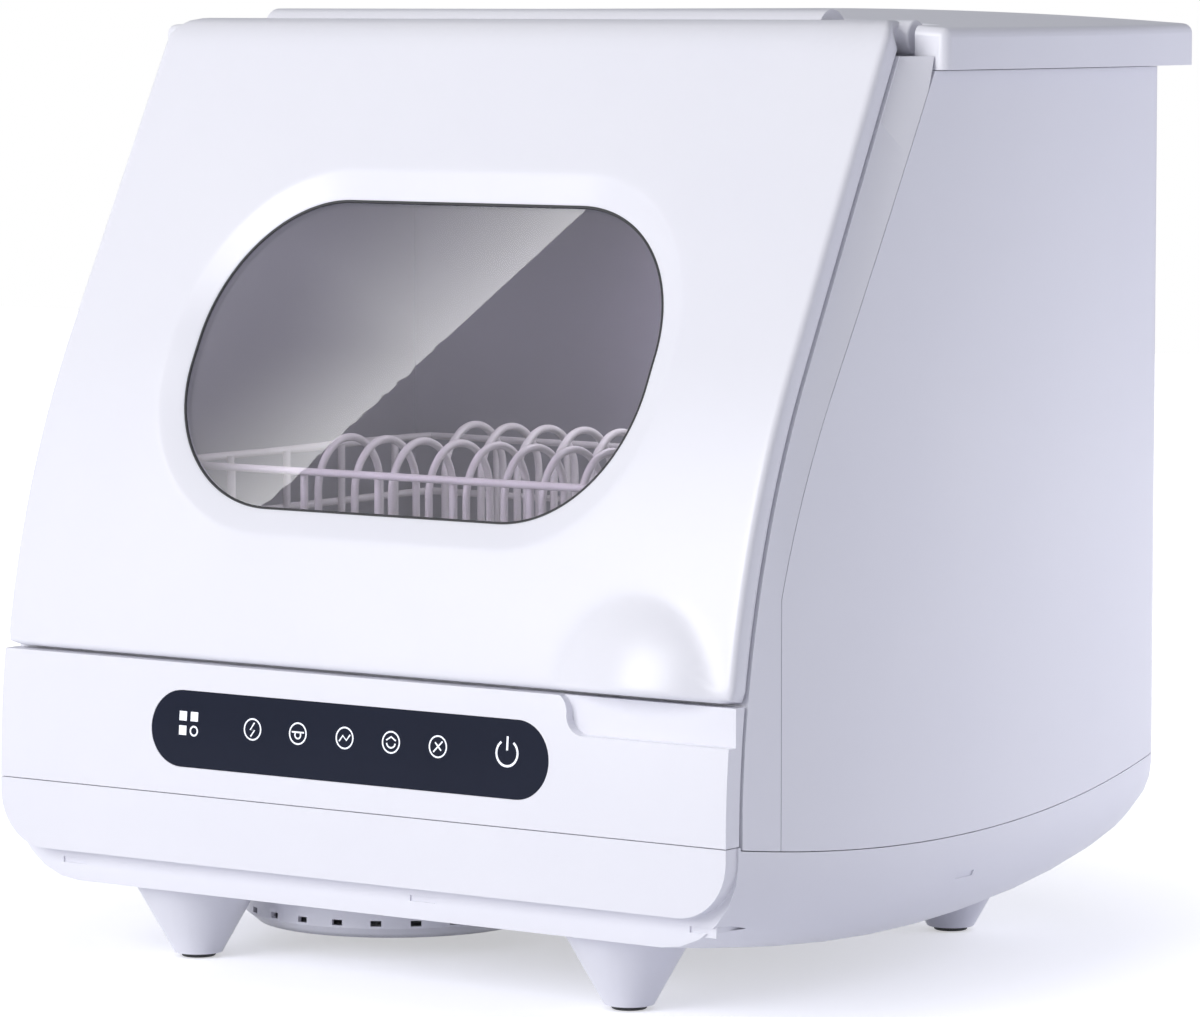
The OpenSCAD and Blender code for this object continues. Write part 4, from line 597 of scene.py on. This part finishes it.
def skin_of_rings(name, rings, finish):
    """A closed skin that joins each ring to the next, and the last to the first."""
    mesh = bpy.data.meshes.new(name)
    points = [lid_point(x, s, depth, lift) for ring, depth, lift in rings for x, s in ring]
    faces = []
    for k in range(len(rings)):
        n = (k + 1) % len(rings)
        for i in range(AROUND):
            j = (i + 1) % AROUND
            faces.append((k * AROUND + i, k * AROUND + j, n * AROUND + j, n * AROUND + i))
    mesh.from_pydata(points, [], faces)
    skin = bpy.data.objects.new(name, mesh)
    bpy.context.scene.collection.objects.link(skin)
    make_active(skin)
    bpy.ops.object.mode_set(mode="EDIT")
    bpy.ops.mesh.select_all(action="SELECT")
    bpy.ops.mesh.normals_make_consistent(inside=False)
    bpy.ops.object.mode_set(mode="OBJECT")
    shade_smooth(skin, CREASE)
    skin.data.materials.append(finish)
    return skin


lid_skin = skin_of_rings("lid_skin", rings, abs_white)
print("lid faces", len(lid_skin.data.polygons))

# %% [markdown]
# The pane lies in a rubber gasket, and its thin lip shows as a dark line round the glass.
# The same rings draw it, a millimetre inside the window's edge.

# %% Lip of the window's gasket
LIP = ((0.2, 4.9), (0.1, 4.3), (-0.4, 4.1), (-0.9, 4.4), (-1.0, 4.9))
lip_rings = [(window_ring(out), depth, 1.0) for out, depth in LIP]
window_lip = skin_of_rings("window_lip", lip_rings, rubber_black)
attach(window_lip, "lid")
print("window lip faces", len(window_lip.data.polygons))

# %% [markdown]
# The hinge nose of the top deck lies between the lid's two ears, so the skin is cut round
# it with a cylinder, and each ear gets its barrel, which holds the pin.

# %% Room for the hinge nose
HINGE_Y, HINGE_Z = 149.186, 418.0
NOSE_R, EAR_R, EAR_IN, EAR_OUT = 12.6, 7.5, 156.0, 198.0
deselect_all()
bpy.ops.mesh.primitive_cylinder_add(vertices=96, radius=NOSE_R * MM, depth=2 * EAR_IN * MM,
                                    location=place(0, HINGE_Y, HINGE_Z), rotation=(0, math.pi / 2, 0))
nose_room = bpy.context.object
cut = lid_skin.modifiers.new("nose", "BOOLEAN")
cut.operation, cut.object, cut.solver = "DIFFERENCE", nose_room, "EXACT"
finish_modifiers(lid_skin)
bpy.data.objects.remove(nose_room)
shade_smooth(lid_skin, CREASE)
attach(lid_skin, "lid")
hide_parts("lid_shell", "window_bezel")
print("lid faces after the cut", len(lid_skin.data.polygons))


# %% The ears' barrels
def ear_barrel(label, side, edge_mm=1.2):
    """A short round bar along X with round ends, placed in its mesh."""
    deselect_all()
    middle = place(side * (EAR_IN + EAR_OUT) / 2, HINGE_Y, HINGE_Z)
    bpy.ops.mesh.primitive_cylinder_add(vertices=64, radius=EAR_R * MM,
                                        depth=(EAR_OUT - EAR_IN) * MM,
                                        location=middle, rotation=(0, math.pi / 2, 0))
    piece = bpy.context.object
    piece.name = "lid_ear_" + label
    bpy.ops.object.transform_apply(location=True, rotation=True, scale=True)
    bevel = piece.modifiers.new("ends", "BEVEL")
    bevel.width, bevel.segments, bevel.limit_method = edge_mm * MM, 4, "ANGLE"
    finish_modifiers(piece)
    shade_smooth(piece, SHARP)
    piece.data.materials.append(abs_white)
    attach(piece, "lid")
    print(piece.name, len(piece.data.polygons), "faces")


for label, side in (("left", -1), ("right", 1)):
    ear_barrel(label, side)

# %% [markdown]
# ## Touch strip
# Seven keys are printed on the acrylic: a menu sign of squares, five round signs and a
# power sign. Each is a set of thin strokes, laid as flat bands along a path on the strip's
# curve and given the thickness of print with a Solidify modifier. The words are left out.


# %% A stroke of print
def strip_point(x, z, behind=0.08):
    """A point on the front of the touch strip, which lies a little behind the face."""
    y = FACE_R - (FACE_R - behind) * math.cos(math.asin((z - FOOT_Z) / FACE_R))
    return place(x, y, z)


def stroke(name, paths, width_mm):
    """Flat strokes along paths of (x, z) in mm, joined in one printed sign."""
    mesh = bmesh.new()
    for path, closed in paths:
        count = len(path)
        left, right = [], []
        for i, (x, z) in enumerate(path):
            before = path[i - 1] if closed or i else path[0]
            after = path[(i + 1) % count] if closed or i < count - 1 else path[-1]
            dx, dz = after[0] - before[0], after[1] - before[1]
            size = math.hypot(dx, dz) or 1
            side_x, side_z = -dz / size * width_mm / 2, dx / size * width_mm / 2
            left.append(mesh.verts.new(strip_point(x + side_x, z + side_z)))
            right.append(mesh.verts.new(strip_point(x - side_x, z - side_z)))
        for i in range(count if closed else count - 1):
            j = (i + 1) % count
            mesh.faces.new((left[i], left[j], right[j], right[i]))
    data = bpy.data.meshes.new(name)
    mesh.to_mesh(data)
    mesh.free()
    piece = bpy.data.objects.new(name, data)
    bpy.context.scene.collection.objects.link(piece)
    solid = piece.modifiers.new("print", "SOLIDIFY")
    solid.thickness, solid.offset = 0.05 * MM, 0
    finish_modifiers(piece)
    piece.data.materials.append(print_white_painted_glow)
    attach(piece, "chassis")
    print(name, len(data.polygons), "faces")


def circle(x, z, r, a0=0, a1=360, n=28):
    """Points round a circle; a full turn closes on itself."""
    full = abs(a1 - a0) >= 360
    steps = n if full else n + 1
    return [(x + r * math.cos(math.radians(a0 + (a1 - a0) * i / n)),
             z + r * math.sin(math.radians(a0 + (a1 - a0) * i / n))) for i in range(steps)]


def line(x, *spots):
    """An open path from places measured from a sign's middle."""
    return [(x + dx, SIGN_Z + dz) for dx, dz in spots], False


# %% The round signs, the power sign and the menu sign
SIGN_Z, SIGN_R = 113.0, 4.6
SIGN_X = (-53.5, -28.0, -2.0, 23.5, 49.0)
inside = (
    lambda x: [line(x, (1, 3), (-1.3, -0.3), (1.2, -0.3), (-1, -3.2))],
    lambda x: [(circle(x, SIGN_Z - 0.6, 1.6, 150, 390, 12), False), line(x, (-3.4, 0.6), (3.4, 0.6))],
    lambda x: [line(x, (-3, -1.6), (-1, 1), (1, -1), (3, 1.6))],
    lambda x: [(circle(x, SIGN_Z, 2.4, 190, 350, 10), False), line(x, (-2.6, 0.8), (0, 2.4), (2.6, 0.8))],
    lambda x: [line(x, (-2.4, -2.4), (2.4, 2.4)), line(x, (-1.6, 1.8), (1.8, -1.6))],
)
for k, x in enumerate(SIGN_X):
    stroke(f"sign_{k}", [(circle(x, SIGN_Z, SIGN_R), True)] + inside[k](x), 0.7)

POWER_X, MENU_X, CELL, STEP = 86.0, -90.0, 4.2, 6.4
stroke("sign_power", [(circle(POWER_X, SIGN_Z, 5.6, 125, 415, 30), False),
                      line(POWER_X, (0, 1.2), (0, 7.2))], 1.0)
squares = []
for across, up in ((-STEP / 2, STEP / 2), (STEP / 2, STEP / 2), (-STEP / 2, -STEP / 2)):
    squares.append(line(MENU_X, (across - CELL / 2, up), (across + CELL / 2, up)))
stroke("sign_menu", squares, CELL)
stroke("sign_menu_drop", [(circle(MENU_X + STEP / 2, SIGN_Z - STEP / 2, 2.0), True)], 0.8)

# %% [markdown]
# ## Stage
# A pale floor and plain soft light. The background is white only for the camera, and for
# what glass and metal show, so that no extra light falls on the machine. The floor is real
# near the machine, to carry its shadow, and turns to plain white further out.


# %% Rays that see the white background
def background_rays(tree):
    """1 for the rays of the camera, of gloss and of glass, and 0 for those that light."""
    rays = add_node(tree, "ShaderNodeLightPath").outputs
    seen = rays["Is Camera Ray"]
    for kind in ("Is Glossy Ray", "Is Transmission Ray"):
        seen = add_node(tree, "ShaderNodeMath", {0: seen, 1: rays[kind]},
                        operation="MAXIMUM").outputs[0]
    return seen


# %% Floor
NEAR, FAR, NEAR_GLOW = 0.24, 0.6, 0.48  # distances from the middle, in metres
deselect_all()
bpy.ops.mesh.primitive_plane_add(size=8, location=(0, 0, -0.0002))
floor = bpy.context.object
floor.name = "floor"
pale, tree, shader, spot = new_finish("floor_pale", "#E9EAF2", 0.8)
vary_roughness(tree, shader, mottle(tree, spot, 200), 0.75, 0.85)
away = add_node(tree, "ShaderNodeVectorMath", {0: spot}, operation="LENGTH")
rise = add_node(tree, "ShaderNodeMapRange", {
    "Value": away.outputs["Value"], "From Min": NEAR, "From Max": FAR,
    "To Min": NEAR_GLOW, "To Max": 1.0})
glow = add_node(tree, "ShaderNodeMath", {0: background_rays(tree), 1: rise.outputs["Result"]},
                operation="MULTIPLY")
shine = add_node(tree, "ShaderNodeEmission", {"Color": (1, 1, 1, 1), "Strength": glow.outputs[0]})
both = add_node(tree, "ShaderNodeAddShader", {0: shader.outputs[0], 1: shine.outputs[0]})
tree.links.new(both.outputs[0], tree.nodes["Material Output"].inputs["Surface"])
floor.data.materials.append(pale)
print("floor", tuple(round(side) for side in floor.dimensions[:2]), "metres")

# %% World
world = bpy.data.worlds.new("studio")
bpy.context.scene.world = world
world.use_nodes = True
tree = world.node_tree
tree.nodes.clear()
room = add_node(tree, "ShaderNodeBackground", {"Color": linear("#E4E5EE"), "Strength": 0.4})
white = add_node(tree, "ShaderNodeBackground", {"Color": (1, 1, 1, 1), "Strength": 1.0})
pick = add_node(tree, "ShaderNodeMixShader", {
    0: background_rays(tree), 1: room.outputs[0], 2: white.outputs[0]})
add_node(tree, "ShaderNodeOutputWorld", {"Surface": pick.outputs[0]})
bpy.context.scene.view_settings.view_transform = "Standard"
print("world nodes", len(tree.nodes))

# %% [markdown]
# A big softbox in front, high and to the left, lights the face evenly. A smaller one lifts
# the rear of the right side, where the photograph grows lighter; it adds no gloss, so no
# blot shows on the panel. A small one in the tub lets the rack be seen through the glass.


# %% Lamps
def soft_lamp(name, spot_mm, aim_mm, size, power, colour="#FFFFFF"):
    """A square softbox that looks at a place."""
    bpy.ops.object.light_add(type="AREA", location=place(*spot_mm))
    lamp = bpy.context.object
    lamp.name = name
    lamp.data.size = size
    lamp.data.energy = power
    lamp.data.color = linear(colour)[:3]
    lamp.rotation_euler = (place(*aim_mm) - lamp.location).to_track_quat("-Z", "Y").to_euler()
    return lamp


soft_lamp("front_softbox", (-700, -2400, 1200), (0, 100, 260), 1.6, 48.0)
right_rear = soft_lamp("right_rear", (610, 520, 260), (213, 420, 230), 0.5, 1.2, "#F2F3FF")
right_rear.visible_camera = right_rear.visible_glossy = False
tub_light = soft_lamp("tub_light", (50, 235, 370), (40, 190, 200), 0.12, 0.22)
tub_light.visible_camera = tub_light.visible_transmission = False
print("lamps 3")

# %% [markdown]
# Two cards stand beside the set. Only gloss sees them, so they put no light on the machine.
# The grey one behind darkens what the top and the side mirror. The bright one hangs in
# front, at the upper left, and lights the window alone: the glass mirrors its slanted edge
# as a line, with a glow that fades away from it.


# %% Cards for the reflections
def gloss_card(name, points, faces, glow, colour, clear=False):
    """A glowing card that only glossy rays see, with a strength for each point."""
    mesh = bpy.data.meshes.new(name)
    mesh.from_pydata(points, [], faces)
    strength = mesh.attributes.new("glow", "FLOAT", "POINT")
    strength.data.foreach_set("value", glow)
    card = bpy.data.objects.new(name, mesh)
    bpy.context.scene.collection.objects.link(card)
    for kind in ("camera", "diffuse", "transmission", "volume_scatter", "shadow"):
        setattr(card, "visible_" + kind, False)
    material = bpy.data.materials.new(name)
    material.use_nodes = True
    material.node_tree.nodes.clear()
    tree = material.node_tree
    value = add_node(tree, "ShaderNodeAttribute", attribute_name="glow")
    shine = add_node(tree, "ShaderNodeEmission", {
        "Color": linear(colour), "Strength": value.outputs["Fac"]})
    if clear:
        through = add_node(tree, "ShaderNodeBsdfTransparent")
        shine = add_node(tree, "ShaderNodeAddShader", {0: through.outputs[0], 1: shine.outputs[0]})
    add_node(tree, "ShaderNodeOutputMaterial", {"Surface": shine.outputs[0]})
    mesh.materials.append(material)
    print(name, len(faces), "faces")
    return card


# %% The grey card behind
BEHIND = 1900
corners = [place(x, BEHIND, z) for x, z in ((-2500, 120), (3200, 120), (3200, 2600), (-2500, 2600))]
gloss_card("card_behind", corners, [(0, 1, 2, 3)], [0.62] * 4, "#D2D5DE")

# %% [markdown]
# The bright card stands square to the way in which the window's middle mirrors the camera's
# sight. Its slanted edge is the line from the window's upper right to its lower left, as
# the card's plane meets it. The lower half of the pane is curved, so there the edge bends.

# %% The bright card in front
MIRROR_FROM, MIRROR_WAY = Vector((5.3, 54.2, 279.4)), Vector((-0.6017, -0.4995, 0.6233))
CARD_AWAY = 1800.0
CARD_EDGE = ((-24.5, 218), (3.8, 11), (-32.5, -66), (-68, -147), (-101, -229), (-131, -312),
             (-159, -397), (-185, -483), (-208, -571), (-229, -662), (-248, -755))
GLOW_WIDE, GLOW_STEPS, GLOW_EDGE, GLOW_FALL = 150.0, 6, 7.2, 1.9
across = MIRROR_WAY.cross(Vector((0, 0, 1))).normalized()
upward = across.cross(MIRROR_WAY)
middle = MIRROR_FROM + MIRROR_WAY * CARD_AWAY
points, glow = [], []
for right, up in CARD_EDGE:
    for k in range(GLOW_STEPS + 1):
        t = k / GLOW_STEPS
        points.append(place(*(middle + across * (right + t * GLOW_WIDE) + upward * up)))
        glow.append(GLOW_EDGE * (1 - t) ** GLOW_FALL)
row = GLOW_STEPS + 1
faces = [(i * row + k, i * row + k + 1, (i + 1) * row + k + 1, (i + 1) * row + k)
         for i in range(len(CARD_EDGE) - 1) for k in range(GLOW_STEPS)]
bright = gloss_card("card_front", points, faces, glow, "#FFFFFF", clear=True)
only_glass = bpy.data.collections.new("only_glass")
only_glass.objects.link(smooth_pane)
bright.light_linking.receiver_collection = only_glass
